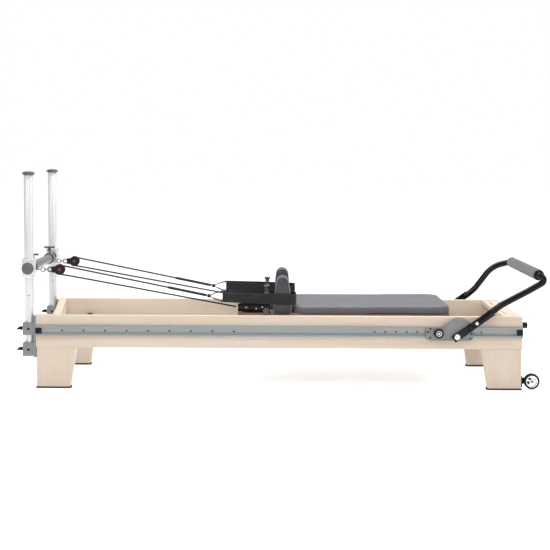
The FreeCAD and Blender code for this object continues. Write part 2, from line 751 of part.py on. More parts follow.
def clamp_cap(side):
    span = outward(side, CLAMP_OUT, f"{CLAMP_OUT} + clamp_cap_depth")
    disc = rod("y", "clamp_cap_radius", span, (POLE_X, "cross_height"))
    bow = "(clamp_cap_radius ^ 2 + clamp_cap_depth ^ 2) / (2 * clamp_cap_depth) * dome_flatness"
    dome = ball(bow, POLE_X, at_side(side, f"{CLAMP_OUT} + clamp_cap_depth - ({bow})"), "cross_height")
    return common(disc, dome)


def hanger(side):
    """The sliding collar with its eye, and the link that joins the eye to the pulley housing."""
    where = at_side(side, "rope_place")
    span = around(where, "collar_width")
    sleeve = rod("y", "collar_radius", span, (POLE_X, "cross_height"))
    bore = rod("y", "cross_radius + running_gap", span, (POLE_X, "cross_height"))
    reach = ("cross_height", "cross_height + 2 * collar_radius")
    screw_hole = rod("z", "stem_radius + running_gap", reach, (POLE_X, where))
    pitch = "(2 * (ring_radius - ring_wire) - link_gap)"
    first = f"{HOUSING_END} - ring_radius"
    link = ring("z", "ring_radius", "ring_wire", f"{first} - {pitch}", where, PULLEY_Z)
    eye_x = f"{first} - 2 * {pitch}"
    eye = ring("y", "ring_radius", "ring_wire", eye_x, where, PULLEY_Z)
    stem_span = (f"{POLE_X} + collar_radius * 0.8", f"{eye_x} - ring_radius")
    stem = rod("x", "ring_wire * 1.4", stem_span, (where, PULLEY_Z))
    return group(cut(fuse(cut(sleeve, screw_hole), stem, eye), bore), link)


def housing(side):
    where = at_side(side, "rope_place")
    play = "pulley_width + 2 * clear_gap"
    across = around(where, f"{play} + 2 * cheek_thickness")
    disc = rod("y", "cheek_radius", across, (PULLEY_X, PULLEY_Z))
    lug = box((HOUSING_END, PULLEY_X), across, around(PULLEY_Z, "housing_height"))
    slot_x = (f"{HOUSING_END} + bridge_length", f"{PULLEY_X} + 2 * cheek_radius")
    slot = box(slot_x, around(where, play), around(PULLEY_Z, "4 * cheek_radius"))
    pin = rod("y", "pulley_pin_radius", across, (PULLEY_X, PULLEY_Z))
    eye = ring("y", "ring_radius", "ring_wire", f"{HOUSING_END} - ring_radius", where, PULLEY_Z)
    return fuse(cut(fuse(disc, lug), slot), pin, eye)


def pulley(side):
    where = at_side(side, "rope_place")
    wheel = rod("y", "pulley_pitch_radius + pulley_rim", around(where, "pulley_width"), (PULLEY_X, PULLEY_Z))
    groove = ring("y", "pulley_pitch_radius", "rope_radius + clear_gap", PULLEY_X, where, PULLEY_Z)
    wide = around(where, "pulley_width + 2")
    bore = rod("y", "pulley_pin_radius + running_gap", wide, (PULLEY_X, PULLEY_Z))
    lip = "2 * (rope_radius + clear_gap)"
    shell = rod("y", "pulley_pitch_radius + 2 * pulley_rim", around(where, lip), (PULLEY_X, PULLEY_Z))
    core = rod("y", "pulley_pitch_radius", around(where, "pulley_width"), (PULLEY_X, PULLEY_Z))
    return cut(wheel, groove, cut(shell, core), bore)


def collar_screw(side):
    where = at_side(side, "rope_place")
    top = "cross_height + collar_radius + stem_length + collar_stem"
    shank = rod("z", "stem_radius", ("cross_height + cross_radius + clear_gap", top), (POLE_X, where))
    boss_span = ("cross_height + collar_radius + clear_gap", top)
    boss = rod("z", "stem_radius * 2", boss_span, (POLE_X, where))
    handle = rod("x", "wing_radius", around(POLE_X, "collar_handle"), (where, top))
    return fuse(shank, boss, handle)


def make_crossbar():
    node("cross_tube", rod("y", "cross_radius", symmetric(CLAMP_IN), (POLE_X, "cross_height")))
    node("crossbar_clamps", both(clamp))
    node("crossbar_caps", both(clamp_cap))
    node("pulley_hangers", group(hanger(-1), hanger(1)))
    node("pulley_housings", both(housing))
    for name, side in SIDES.items():
        node(f"pulley_{name}", pulley(side))
        node(f"crossbar_screw_{name}", collar_screw(side))


# ---- ropes and loops


def point(x, y, z):
    return FreeCAD.Vector(value(x), value(y), value(z))


def rope(side):
    """Straight from the nozzle to the pulley, half round it, and straight to the knot."""
    where = at_side(side, "rope_place")
    nozzle = point("carriage_head - nozzle_length - 3 * clear_gap", where, "nozzle_height")
    knot = point("knot_place", where, "knot_height")
    centre = point(PULLEY_X, where, PULLEY_Z)
    pitch_radius = value("pulley_pitch_radius")
    low = tangent_point(nozzle, centre, pitch_radius, -1)
    high = tangent_point(knot, centre, pitch_radius, 1)
    back = centre - ((low + high) / 2 - centre).normalize() * pitch_radius
    if back.x > centre.x:
        back = centre * 2 - back
    along = (high - knot).normalize()
    sleeve_end = knot + along * value("knot_radius")
    sleeve_start = sleeve_end + along * value("sleeve_length")
    runs = [Part.LineSegment(nozzle, low), Part.Arc(low, back, high), Part.LineSegment(high, sleeve_start)]
    path = Part.Wire([run.toShape() for run in runs])
    radius = value("rope_radius")
    whole = tube_along(path, radius)
    filled = whole.Volume / (path.Length * math.pi * radius**2)
    print("rope length", round(path.Length), "volume against section times length", round(filled, 4))
    sleeve_radius = value("sleeve_radius")
    sleeve = Part.makeCylinder(sleeve_radius, value("sleeve_length"), sleeve_end, along)
    return solid(Part.makeCompound([whole, sleeve]), "Rope")


def loop_band(side):
    """Webbing round the strap post and the shoulder rest, narrowing to the bar at its tip."""
    middle = value("rest_place")
    tip_middle = value("rope_place")
    outer = value("loop_outer")
    tip_half = value("loop_tip_half")
    tip = value("loop_tip")
    shoulder = value("loop_shoulder")
    front = value("loop_front")
    corner = value("loop_corner")
    low = value("loop_bottom")

    def at(x, y):
        return FreeCAD.Vector(x, side * y, low)

    slack = corner * (1 - math.sqrt(0.5))
    ends = {}
    for turn in (1, -1):
        edge = middle + turn * outer
        beside = at(front - corner, edge)
        rounded = at(front - slack, edge - turn * slack)
        ends[turn] = (beside, rounded, at(front, edge - turn * corner))
    runs = [
        Part.LineSegment(at(tip, tip_middle - tip_half), at(tip, tip_middle + tip_half)),
        Part.LineSegment(at(tip, tip_middle + tip_half), at(shoulder, middle + outer)),
        Part.LineSegment(at(shoulder, middle + outer), ends[1][0]),
        Part.Arc(*ends[1]),
        Part.LineSegment(ends[1][2], ends[-1][2]),
        Part.Arc(*reversed(ends[-1])),
        Part.LineSegment(ends[-1][0], at(shoulder, middle - outer)),
        Part.LineSegment(at(shoulder, middle - outer), at(tip, tip_middle - tip_half)),
    ]
    rim = Part.Wire([run.toShape() for run in runs])
    inner = rim.makeOffset2D(-value("loop_band"))
    face = Part.Face(rim).cut(Part.Face(inner))
    band = face.extrude(FreeCAD.Vector(0, 0, value("loop_height")))
    made = solid(band, "Loop")
    tilt = FreeCAD.Rotation(FreeCAD.Vector(0, 1, 0), value("loop_tilt"))
    made.Placement = FreeCAD.Placement(FreeCAD.Vector(), tilt, FreeCAD.Vector(front, 0, low))
    return made


def loop_tip(side):
    """The knot, the bar in the loop's tip, and the thin cords between them."""
    tilt = math.radians(value("loop_tilt"))
    gone = value("loop_front - loop_tip")
    height = value("loop_bottom") + value("loop_height") / 2 * math.cos(tilt) + gone * math.sin(tilt)
    bar_x = value("loop_tip - loop_bar_radius - clear_gap")
    where = side * value("rope_place")
    half = value("loop_tip_half")
    knot = FreeCAD.Vector(value("knot_place"), where, value("knot_height"))
    radius = value("loop_cord_radius")
    bar_start = FreeCAD.Vector(bar_x, where - half, height)
    whole = Part.makeCylinder(value("loop_bar_radius"), 2 * half, bar_start, FreeCAD.Vector(0, 1, 0))
    whole = whole.fuse(Part.makeSphere(value("knot_radius"), knot))
    for y in (where - half + radius, where + half - radius):
        run = FreeCAD.Vector(bar_x, y, height) - knot
        whole = whole.fuse(Part.makeCylinder(radius, run.Length, knot, run))
    return solid(whole.removeSplitter(), "LoopTip")


def make_ropes():
    for name, side in SIDES.items():
        node(f"rope_{name}", rope(side))
    node("hand_loops", group(*(make(side) for side in SIDES.values() for make in (loop_band, loop_tip))))


# ---- carriage


def carriage_base():
    wide = [("base_neck", "-base_half"), (CARRIAGE_FOOT, "-base_half")]
    wide += [(CARRIAGE_FOOT, "base_half"), ("base_neck", "base_half")]
    body = prism("XY", wide, (BASE_BOTTOM, "base_top"), "pad_corner - 5")
    head_x = ("carriage_head", "base_neck + pad_corner")
    head = box(head_x, symmetric("base_head_half"), (BASE_BOTTOM, "base_top"))
    return fuse(body, head)


def rounded_slab(x, half, z, corner):
    outline = [(x[0], f"-({half})"), (x[1], f"-({half})"), (x[1], half), (x[0], half)]
    return prism("XY", outline, z, corner)


def shoulder_rest(side):
    across = outward(side, "rest_place - rest_width / 2", "rest_place + rest_width / 2")
    middle = "rest_head + rest_depth / 2"
    arch_height = "rest_top - rest_arch"
    outline = [
        ("rest_head", "base_top"),
        ("rest_head + rest_depth", "base_top"),
        (f"{middle} + rest_arch", arch_height),
        (f"{middle} - rest_arch", arch_height),
    ]
    return fuse(prism("XZ", outline, across), rod("y", "rest_arch", across, (middle, arch_height)))


def strap_post(side):
    where = ("post_forward", at_side(side, "post_place"))
    spans = [
        ("post_base_radius", "base_top", "post_waist"),
        ("post_flange_radius", "post_waist", "post_waist + post_flange"),
        ("post_shaft_radius", "post_waist + post_flange", "post_top - post_flange"),
        ("post_flange_radius", "post_top - post_flange", "post_top"),
    ]
    return fuse(*(rod("z", radius, (low, high), where) for radius, low, high in spans))


def rope_arm(side):
    across = outward(side, "rope_place - arm_width / 2", "rope_place + arm_width / 2")
    outline = [
        ("carriage_head", "arm_nose"),
        ("carriage_head + arm_nose_length", "base_top"),
        ("arm_foot", "base_top"),
        ("arm_foot", "arm_top"),
        ("carriage_head + arm_bevel", "arm_top"),
        ("carriage_head", "arm_top - arm_bevel_drop"),
    ]
    arm = prism("XZ", outline, across)
    nozzle_span = ("carriage_head - nozzle_length", "carriage_head + nozzle_length")
    nozzle = rod("x", "nozzle_radius", nozzle_span, (at_side(side, "rope_place"), "nozzle_height"))
    return fuse(arm, nozzle)


def arm_knob(side):
    start = "rope_place + arm_width / 2 + clear_gap"
    span = outward(side, start, f"{start} + arm_knob_length")
    return rod("y", "arm_knob_radius", span, ("arm_knob_place", "arm_knob_height"))


def roller_bracket(place_x, side):
    """A plate under the base board with a stub axle that points outwards."""
    foot = "rail_top + bracket_clearance"
    plate_out = f"{ROLLER_OUT} - roller_width - clear_gap"
    x = around(place_x, "bracket_length")
    plate = box(x, outward(side, f"{plate_out} - bracket_thickness", plate_out), (foot, BASE_BOTTOM))
    axle = rod("y", "roller_axle_radius", outward(side, plate_out, ROLLER_OUT), (place_x, ROLLER_Z))
    return fuse(plate, axle)


def roller_pair(place_x):
    wheels = []
    for side in SIDES.values():
        across = outward(side, f"{ROLLER_OUT} - roller_width", ROLLER_OUT)
        wheel = rod("y", "roller_radius", across, (place_x, ROLLER_Z))
        wheels.append(cut(wheel, rod("y", "roller_axle_radius + running_gap", across, (place_x, ROLLER_Z))))
    return group(*wheels)


def spring_anchor():
    x = ("anchor_place", "anchor_place + anchor_size")
    bar = box(x, symmetric("2 * spring_pitch"), around("spring_height", "anchor_size"))
    top = "spring_height + anchor_size / 2"
    places = ("-spring_pitch", "0", "spring_pitch")
    drops = [box(x, around(y, "anchor_size"), (top, BASE_BOTTOM)) for y in places]
    return fuse(bar, *drops)


def springs():
    span = ("anchor_place + anchor_size", "spring_bar_place")
    places = [f"({i} - 1.5) * spring_pitch" for i in range(4)]
    return group(*(rod("x", "spring_radius", span, (y, "spring_height")) for y in places))


def headrest_board():
    low = "base_top + headrest_lift"
    high = "base_top + headrest_lift + headrest_board"
    x = ("carriage_head + tray_margin", "carriage_head + headrest_length - tray_margin")
    board = rounded_slab(x, "headrest_half - tray_margin", (low, high), "headrest_corner - tray_margin")
    reach = ("carriage_head + headrest_length - hinge_leaf", "hinge_place")
    leaf = box(reach, symmetric("headrest_half - headrest_corner"), (low, high))
    barrel_z = "base_top + headrest_lift + hinge_radius"
    barrel_y = symmetric("headrest_half - headrest_corner")
    barrel = rod("y", "hinge_radius", barrel_y, ("hinge_place", barrel_z))
    return fuse(board, leaf, barrel)


def make_carriage():
    node("carriage_base", carriage_base())
    pad_x = (f"{CARRIAGE_FOOT} - pad_length", CARRIAGE_FOOT)
    node("carriage_pad", rounded_slab(pad_x, "pad_half", ("base_top", PAD_TOP), "pad_corner"))
    rest_x = ("carriage_head", "carriage_head + headrest_length")
    rest_low = "base_top + headrest_lift + headrest_board"
    rest_z = (rest_low, f"{rest_low} + headrest_thickness")
    node("headrest", rounded_slab(rest_x, "headrest_half", rest_z, "headrest_corner"))
    node("headrest_board", headrest_board())
    node("shoulder_rests", both(shoulder_rest))
    node("strap_posts", both(strap_post))
    node("rope_arms", both(rope_arm))
    for name, side in SIDES.items():
        node(f"arm_knob_{name}", arm_knob(side))
    places = ("roller_head_place", "roller_foot_place")
    brackets = [roller_bracket(x, side) for x in places for side in SIDES.values()]
    node("carriage_brackets", group(*brackets, spring_anchor()))
    node("rollers_head", roller_pair("roller_head_place"))
    node("rollers_foot", roller_pair("roller_foot_place"))
    node("springs", springs())


# ---- footbar


def polar(radius, angle):
    """A place beside the pivot, in the plane of the sector plates."""
    x = f"pivot_place + ({radius}) * cos({angle})"
    z = f"pivot_height + ({radius}) * sin({angle})"
    return x, z


TRACK_KNOB = ("pivot_place + track_knob_place", "track_middle")


def sector_plate(side):
    across = outward(side, SECTOR_IN, SECTOR_OUT)
    rel = [
        ("-sector_tail", "-sector_drop + 8"),
        ("-sector_tail", "sector_rise"),
        ("-sector_tail + 70", "sector_rise"),
        ("-11", "sector_radius - over"),
        ("sector_nose - 20", "sector_rise"),
        ("sector_nose", "sector_drop"),
        ("sector_nose", "-sector_drop + 8"),
        ("sector_nose - 22", "-sector_drop"),
        ("-sector_tail + 22", "-sector_drop"),
    ]
    body = prism("XZ", [(f"pivot_place + {x}", f"pivot_height + {z}") for x, z in rel], across)
    disc = rod("y", "sector_radius", across, ("pivot_place", "pivot_height"))
    quarter_x = ("pivot_place - 11", "pivot_place + sector_nose")
    window = box(quarter_x, across, ("pivot_height", "pivot_height + sector_radius"))
    wide = outward(side, f"{SECTOR_IN} - over", f"{SECTOR_OUT} + over")
    holes = [rod("y", "pivot_radius + running_gap", wide, ("pivot_place", "pivot_height"))]
    holes.append(rod("y", "track_pin_radius + running_gap", wide, TRACK_KNOB))
    for i in range(4):
        where = polar("index_radius", f"index_first + {i} * index_step")
        holes.append(rod("y", "index_pin_radius + 2 * running_gap", wide, where))
    return cut(fuse(body, common(disc, window)), *holes)


def slide_shoe(side):
    x = ("pivot_place - sector_tail", "pivot_place + sector_nose")
    across = outward(side, f"{CHANNEL_FLOOR} + clear_gap", SECTOR_IN)
    block = box(x, across, around("track_middle", "channel_height - 2 * clear_gap"))
    return cut(block, rod("y", "track_pin_radius + running_gap", across, TRACK_KNOB))


def sector_screws(side):
    rel = [("-131", "39"), ("-143", "23"), ("-132", "-5"), ("72", "14"), ("66", "-9")]
    span = outward(side, SECTOR_OUT, f"{SECTOR_OUT} + 2 * screw_head")
    heads = [(f"pivot_place + {x}", f"pivot_height + {z}") for x, z in rel]
    return group(*(rod("y", "screw_radius + over", span, where) for where in heads))


def track_knob(side):
    start = f"{SECTOR_OUT} + clear_gap"
    shaft = rod("y", "track_pin_radius", outward(side, f"{CHANNEL_FLOOR} + 4", start), TRACK_KNOB)
    head_span = outward(side, start, f"{start} + track_knob_length")
    return fuse(shaft, rod("y", "track_knob_radius", head_span, TRACK_KNOB))


def footbar_arm(side):
    """A flat bar with square ends."""
    across = outward(side, ARM_IN, ARM_OUT)
    ends = [polar("-bar_arm_tail", "index_first"), polar("bar_arm_length", "index_first")]
    outline = []
    for (x, z), turns in zip(ends, ((1, -1), (-1, 1))):
        for turn in turns:
            dx = f"{turn} * bar_arm_width / 2 * sin(index_first)"
            dz = f"{-turn} * bar_arm_width / 2 * cos(index_first)"
            outline.append((f"{x} + {dx}", f"{z} + {dz}"))
    web = prism("XZ", outline, across)
    wide = outward(side, f"{ARM_IN} - over", f"{ARM_OUT} + over")
    holes = [
        rod("y", "pivot_radius + running_gap", wide, ("pivot_place", "pivot_height")),
        rod("y", "index_pin_radius + running_gap", wide, polar("index_radius", "index_first")),
    ]
    return cut(web, *holes)


# the corners of each side tube, from the pivot, before the grip; the two sides curve differently
BAR_CORNERS = {
    -1: [("155", "111"), ("222", "159"), ("345", "224"), ("440", "279")],
    1: [("155", "111"), ("205", "152"), ("300", "278")],
}


def tongue(side):
    """The flat end of a side tube, which lies against the inside of its arm."""
    length = value("tongue_end - tongue_start")
    thickness = value("tongue_thickness")
    width = value("tongue_width")
    outer = side * value(ARM_IN)
    low = min(outer, outer - side * thickness)
    flat = Part.makeBox(length, thickness, width, FreeCAD.Vector(value("tongue_start"), low, -width / 2))
    flat.rotate(FreeCAD.Vector(), FreeCAD.Vector(0, 1, 0), -value("index_first"))
    flat.translate(point("pivot_place", "0", "pivot_height"))
    return flat


def footbar_tube():
    """Two bent side tubes and the straight tube between them, welded into one U."""
    across = value(BAR_PLACE)
    radius = value("bar_radius")
    sweep = value("bar_sweep")
    grip = point("pivot_place + grip_forward", "0", "pivot_height + grip_rise")
    axis = FreeCAD.Vector(0, 1, 0)
    whole = Part.makeCylinder(radius, 2 * across, grip - axis * across, axis)
    for side, corners in BAR_CORNERS.items():
        out = axis * side * across
        points = [point(f"pivot_place + {x}", "0", f"pivot_height + {z}") + out for x, z in corners]
        radii = [sweep, sweep] + [value("bar_bend")] * (len(corners) - 3)
        path = bent_path(points + [grip + out], radii)
        whole = whole.fuse([tube_along(path, radius), Part.makeSphere(radius, grip + out), tongue(side)])
    return solid(whole, "Footbar")


def grip_pieces():
    grip = ("pivot_place + grip_forward", "pivot_height + grip_rise")
    rings = []
    inner = f"{BAR_PLACE} - bar_radius - clear_gap - grip_ring"
    for side in SIDES.values():
        span = outward(side, inner, f"{inner} + grip_ring")
        bore = rod("y", "bar_radius + running_gap", span, grip)
        rings.append(cut(rod("y", "grip_ring_radius", span, grip), bore))
    span = symmetric(inner)
    foam = cut(rod("y", "foam_radius", span, grip), rod("y", "bar_radius + running_gap", span, grip))
    return foam, group(*rings)


def footbar_bolt(side):
    pivot = ("pivot_place", "pivot_height")
    shank = rod("y", "pivot_radius", outward(side, f"{SECTOR_IN} + clear_gap", ARM_OUT), pivot)
    spacer_span = outward(side, f"{SECTOR_OUT} + clear_gap", ARM_IN)
    spacer = rod("y", "washer_radius", spacer_span, pivot)
    head = rod("y", "washer_radius", outward(side, ARM_OUT, f"{ARM_OUT} + washer_thickness"), pivot)
    nut_span = outward(side, f"{ARM_OUT} + washer_thickness", f"{ARM_OUT} + 3 * washer_thickness")
    nut = rod("y", "pivot_radius", nut_span, pivot)
    bolt_span = outward(side, ARM_OUT, f"{ARM_OUT} + arm_bolt_head")
    arm_bolt = rod("y", "pivot_radius", bolt_span, polar("arm_bolt_place", "index_first"))
    return group(fuse(shank, spacer, head, nut), arm_bolt)


def index_pin(side):
    where = polar("index_radius", "index_first")
    start = f"{ARM_OUT} + clear_gap"
    shaft = rod("y", "index_pin_radius", outward(side, f"{SECTOR_OUT} + clear_gap", start), where)
    guide_end = f"{start} + index_guide"
    guide = rod("y", "index_pin_radius + index_guide_wall", outward(side, start, guide_end), where)
    head = rod("y", "index_knob_radius", outward(side, guide_end, f"{guide_end} + index_knob_length"), where)
    return fuse(shaft, guide, head)


def make_footbar():
    node("sector_plates", both(sector_plate))
    node("slide_shoes", both(slide_shoe))
    node("sector_screws", both(sector_screws))
    node("footbar_arms", both(footbar_arm))
    node("footbar_tube", footbar_tube())
    foam, rings = grip_pieces()
    node("grip_foam", foam)
    node("grip_rings", rings)
    node("footbar_bolts", both(footbar_bolt))
    for name, side in SIDES.items():
        node(f"track_knob_{name}", track_knob(side))
        node(f"index_pin_{name}", index_pin(side))


# ---- transport wheels


def wheel_bracket(side):
    leg_face = f"{END} - leg_inset"
    inner = "wheel_place - wheel_width / 2 - clear_gap - fork_thickness"
    plate_y = outward(side, inner, f"{SIDE} - 2")
    plate = box((leg_face, f"{leg_face} + fork_thickness"), plate_y, around("wheel_height", "wheel_plate"))
    ear_y = outward(side, inner, f"{inner} + fork_thickness")
    ear_x = (leg_face, f"{WHEEL_X} + 2 * wheel_axle_radius")
    ear = box(ear_x, ear_y, around("wheel_height", "6 * wheel_axle_radius"))
    axle_y = outward(side, inner, "wheel_place + wheel_width / 2 + 2")
    axle = rod("y", "wheel_axle_radius", axle_y, (WHEEL_X, "wheel_height"))
    return fuse(plate, ear, axle)


def wheel(side):
    across = outward(side, "wheel_place - wheel_width / 2", "wheel_place + wheel_width / 2")
    disc = rod("y", "wheel_radius", across, (WHEEL_X, "wheel_height"))
    return cut(disc, rod("y", "wheel_axle_radius + running_gap", across, (WHEEL_X, "wheel_height")))


def make_wheels():
    node("wheel_brackets", both(wheel_bracket))
    for name, side in SIDES.items():
        node(f"wheel_{name}", wheel(side))


make_frame()
make_tracks()
make_poles()
make_crossbar()
make_ropes()
make_carriage()
make_footbar()
make_wheels()
doc.recompute()

for made in doc.Objects:
    bad = {"Invalid", "Error"} & set(made.State)
    if bad:
        raise RuntimeError(f"{made.Label}: {bad}")

os.makedirs("parts", exist_ok=True)
for made in NODES:
    if made.Shape.isNull() or not made.Shape.isValid() or not made.Shape.Solids:
        raise RuntimeError(f"{made.Label}: the shape is not valid")
    made.Shape.exportStep(f"parts/{made.Label}.step")
print(len(NODES), "nodes")
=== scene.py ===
import json
import math

import bmesh
import bpy
from mathutils import Matrix, Vector, noise

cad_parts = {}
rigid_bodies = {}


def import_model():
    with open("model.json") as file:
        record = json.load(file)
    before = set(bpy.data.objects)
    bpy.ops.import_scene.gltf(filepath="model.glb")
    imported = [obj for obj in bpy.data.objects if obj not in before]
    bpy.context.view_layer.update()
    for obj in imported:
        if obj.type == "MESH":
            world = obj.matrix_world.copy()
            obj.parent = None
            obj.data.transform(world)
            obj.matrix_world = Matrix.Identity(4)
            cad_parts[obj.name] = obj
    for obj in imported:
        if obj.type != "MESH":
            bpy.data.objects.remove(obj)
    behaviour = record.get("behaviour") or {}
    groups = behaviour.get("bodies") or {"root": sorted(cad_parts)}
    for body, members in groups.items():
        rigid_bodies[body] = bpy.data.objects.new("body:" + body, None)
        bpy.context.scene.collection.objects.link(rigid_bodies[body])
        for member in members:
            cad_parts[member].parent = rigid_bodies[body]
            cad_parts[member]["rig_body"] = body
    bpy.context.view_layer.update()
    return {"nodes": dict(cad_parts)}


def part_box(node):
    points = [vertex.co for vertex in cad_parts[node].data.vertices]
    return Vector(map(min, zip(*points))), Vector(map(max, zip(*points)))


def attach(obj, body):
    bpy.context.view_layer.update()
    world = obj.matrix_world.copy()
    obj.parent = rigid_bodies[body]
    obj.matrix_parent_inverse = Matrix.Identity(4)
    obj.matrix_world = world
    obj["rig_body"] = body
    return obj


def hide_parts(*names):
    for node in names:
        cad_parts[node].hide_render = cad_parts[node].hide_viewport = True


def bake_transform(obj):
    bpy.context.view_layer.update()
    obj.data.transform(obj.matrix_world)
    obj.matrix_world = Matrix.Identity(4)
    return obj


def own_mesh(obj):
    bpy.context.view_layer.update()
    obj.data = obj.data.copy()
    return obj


# Pilates reformer, in metres.  X runs from the head end (poles) to the foot end (footbar),
# -Y is the near side, +Z is up and the floor is at 0.

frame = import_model()

NODES = frame["nodes"]
SIDES = {"near": -1, "far": 1}


# ---- camera

LENS = 74.67
SENSOR = 36.0
SHIFT = (0.0005, -0.1208)
CAMERA_PLACE = (-0.025, -5.915, 1.187)
CAMERA_TIP = math.radians(3.0)
CAMERA_ROLL = math.radians(0.27)


def make_camera():
    """A long lens a little above the carriage, level across and tipped slightly down."""
    data = bpy.data.cameras.new("Camera")
    camera = bpy.data.objects.new("Camera", data)
    bpy.context.scene.collection.objects.link(camera)
    data.lens = LENS
    data.sensor_width = SENSOR
    data.shift_x, data.shift_y = SHIFT
    data.clip_end = 60.0
    camera.location = CAMERA_PLACE
    tipped = Matrix.Rotation(math.radians(90) - CAMERA_TIP, 4, "X")
    turn = tipped @ Matrix.Rotation(CAMERA_ROLL, 4, "Z")
    camera.rotation_euler = turn.to_euler()
    bpy.context.scene.camera = camera


make_camera()


# ---- shader groups


def new_group(name, inputs, outputs):
    """An empty shader group; each input is (name, socket, default) and each output (name, socket)."""
    group = bpy.data.node_groups.new(name, "ShaderNodeTree")
    for label, kind, default in inputs:
        socket = group.interface.new_socket(label, in_out="INPUT", socket_type=kind)
        socket.default_value = default
    for label, kind in outputs:
        group.interface.new_socket(label, in_out="OUTPUT", socket_type=kind)
    start = group.nodes.new("NodeGroupInput")
    end = group.nodes.new("NodeGroupOutput")
    return group, start, end


def math_node(tree, operation, first, second):
    """A sum on two values, each a number or a socket."""
    made = tree.nodes.new("ShaderNodeMath")
    made.operation = operation
    for socket, value in zip(made.inputs, (first, second)):
        if isinstance(value, (int, float)):
            socket.default_value = value
        else:
            tree.links.new(value, socket)
    return made.outputs[0]


def object_coordinates(tree, stretch):
    """Coordinates that stay with the piece, scaled by a socket or by three numbers."""
    place = tree.nodes.new("ShaderNodeTexCoord")
    scale = tree.nodes.new("ShaderNodeVectorMath")
    scale.operation = "MULTIPLY"
    tree.links.new(place.outputs["Object"], scale.inputs[0])
    if isinstance(stretch, tuple):
        scale.inputs[1].default_value = stretch
    else:
        tree.links.new(stretch, scale.inputs[1])
    return scale.outputs[0]


def noise_node(tree, coordinates, scale, detail, roughness=0.5):
    """Noise over the surface; scale is a number or a socket."""
    made = tree.nodes.new("ShaderNodeTexNoise")
    made.inputs["Detail"].default_value = detail
    made.inputs["Roughness"].default_value = roughness
    tree.links.new(coordinates, made.inputs["Vector"])
    if isinstance(scale, (int, float)):
        made.inputs["Scale"].default_value = scale
    else:
        tree.links.new(scale, made.inputs["Scale"])
    return made.outputs["Fac"]


def make_handling_group():
    """Uneven gloss from handling and cleaning: a value between Low and High."""
    group, start, end = new_group(
        "HandlingGloss",
        [
            ("Scale", "NodeSocketFloat", 9.0),
            ("Low", "NodeSocketFloat", 0.3),
            ("High", "NodeSocketFloat", 0.5),
        ],
        [("Roughness", "NodeSocketFloat"), ("Mask", "NodeSocketFloat")],
    )
    coordinates = object_coordinates(group, (1.0, 1.0, 1.0))
    patches = noise_node(group, coordinates, start.outputs["Scale"], 5.0, 0.6)
    span = group.nodes.new("ShaderNodeMapRange")
    span.inputs["From Min"].default_value = 0.3
    span.inputs["From Max"].default_value = 0.7
    group.links.new(patches, span.inputs["Value"])
    group.links.new(start.outputs["Low"], span.inputs["To Min"])
    group.links.new(start.outputs["High"], span.inputs["To Max"])
    group.links.new(span.outputs["Result"], end.inputs["Roughness"])
    group.links.new(patches, end.inputs["Mask"])
    return group


def make_grain_group():
    """Fine surface grain, stretched along the directions of Stretch."""
    group, start, end = new_group(
        "FineGrain",
        [
            ("Stretch", "NodeSocketVector", (1.0, 1.0, 1.0)),
            ("Scale", "NodeSocketFloat", 400.0),
            ("Strength", "NodeSocketFloat", 0.2),
        ],
        [("Normal", "NodeSocketVector"), ("Height", "NodeSocketFloat")],
    )
    coordinates = object_coordinates(group, start.outputs["Stretch"])
    height = noise_node(group, coordinates, start.outputs["Scale"], 3.0)
    bump = group.nodes.new("ShaderNodeBump")
    bump.inputs["Distance"].default_value = 0.0006
    group.links.new(start.outputs["Strength"], bump.inputs["Strength"])
    group.links.new(height, bump.inputs["Height"])
    group.links.new(bump.outputs["Normal"], end.inputs["Normal"])
    group.links.new(height, end.inputs["Height"])
    return group


def make_pebble_group():
    """The pebbled grain of upholstery vinyl and of moulded foam."""
    group, start, end = new_group(
        "PebbleGrain",
        [("Scale", "NodeSocketFloat", 500.0), ("Strength", "NodeSocketFloat", 0.3)],
        [("Normal", "NodeSocketVector"), ("Cells", "NodeSocketFloat")],
    )
    coordinates = object_coordinates(group, (1.0, 1.0, 1.0))
    cells = group.nodes.new("ShaderNodeTexVoronoi")
    cells.feature = "SMOOTH_F1"
    cells.inputs["Smoothness"].default_value = 0.6
    group.links.new(coordinates, cells.inputs["Vector"])
    group.links.new(start.outputs["Scale"], cells.inputs["Scale"])
    bump = group.nodes.new("ShaderNodeBump")
    bump.inputs["Distance"].default_value = 0.0005
    group.links.new(start.outputs["Strength"], bump.inputs["Strength"])
    group.links.new(cells.outputs["Distance"], bump.inputs["Height"])
    group.links.new(bump.outputs["Normal"], end.inputs["Normal"])
    group.links.new(cells.outputs["Distance"], end.inputs["Cells"])
    return group


HANDLING = make_handling_group()
GRAIN = make_grain_group()
PEBBLE = make_pebble_group()


# ---- materials


def use_group(tree, group, **values):
    """Places a shader group with its own values."""
    made = tree.nodes.new("ShaderNodeGroup")
    made.node_tree = group
    for label, value in values.items():
        made.inputs[label].default_value = value
    return made


def plain_material(name, colour, metallic=0.0, gloss=(0.35, 0.5), spots=9.0):
    """A Principled material with uneven gloss; returns (material, tree, shader)."""
    made = bpy.data.materials.new(name)
    made.use_nodes = True
    tree = made.node_tree
    shader = tree.nodes["Principled BSDF"]
    shader.inputs["Base Color"].default_value = (*colour, 1.0)
    shader.inputs["Metallic"].default_value = metallic
    handling = use_group(tree, HANDLING, Scale=spots, Low=gloss[0], High=gloss[1])
    tree.links.new(handling.outputs["Roughness"], shader.inputs["Roughness"])
    return made, tree, shader


def ramp(tree, factor, stops):
    """Colours laid over a factor; each stop is (place, colour)."""
    made = tree.nodes.new("ShaderNodeValToRGB")
    elements = made.color_ramp.elements
    while len(elements) < len(stops):
        elements.new(0.5)
    for element, (place, colour) in zip(elements, stops):
        element.position = place
        element.color = (*colour, 1.0)
    tree.links.new(factor, made.inputs["Fac"])
    return made.outputs["Color"]


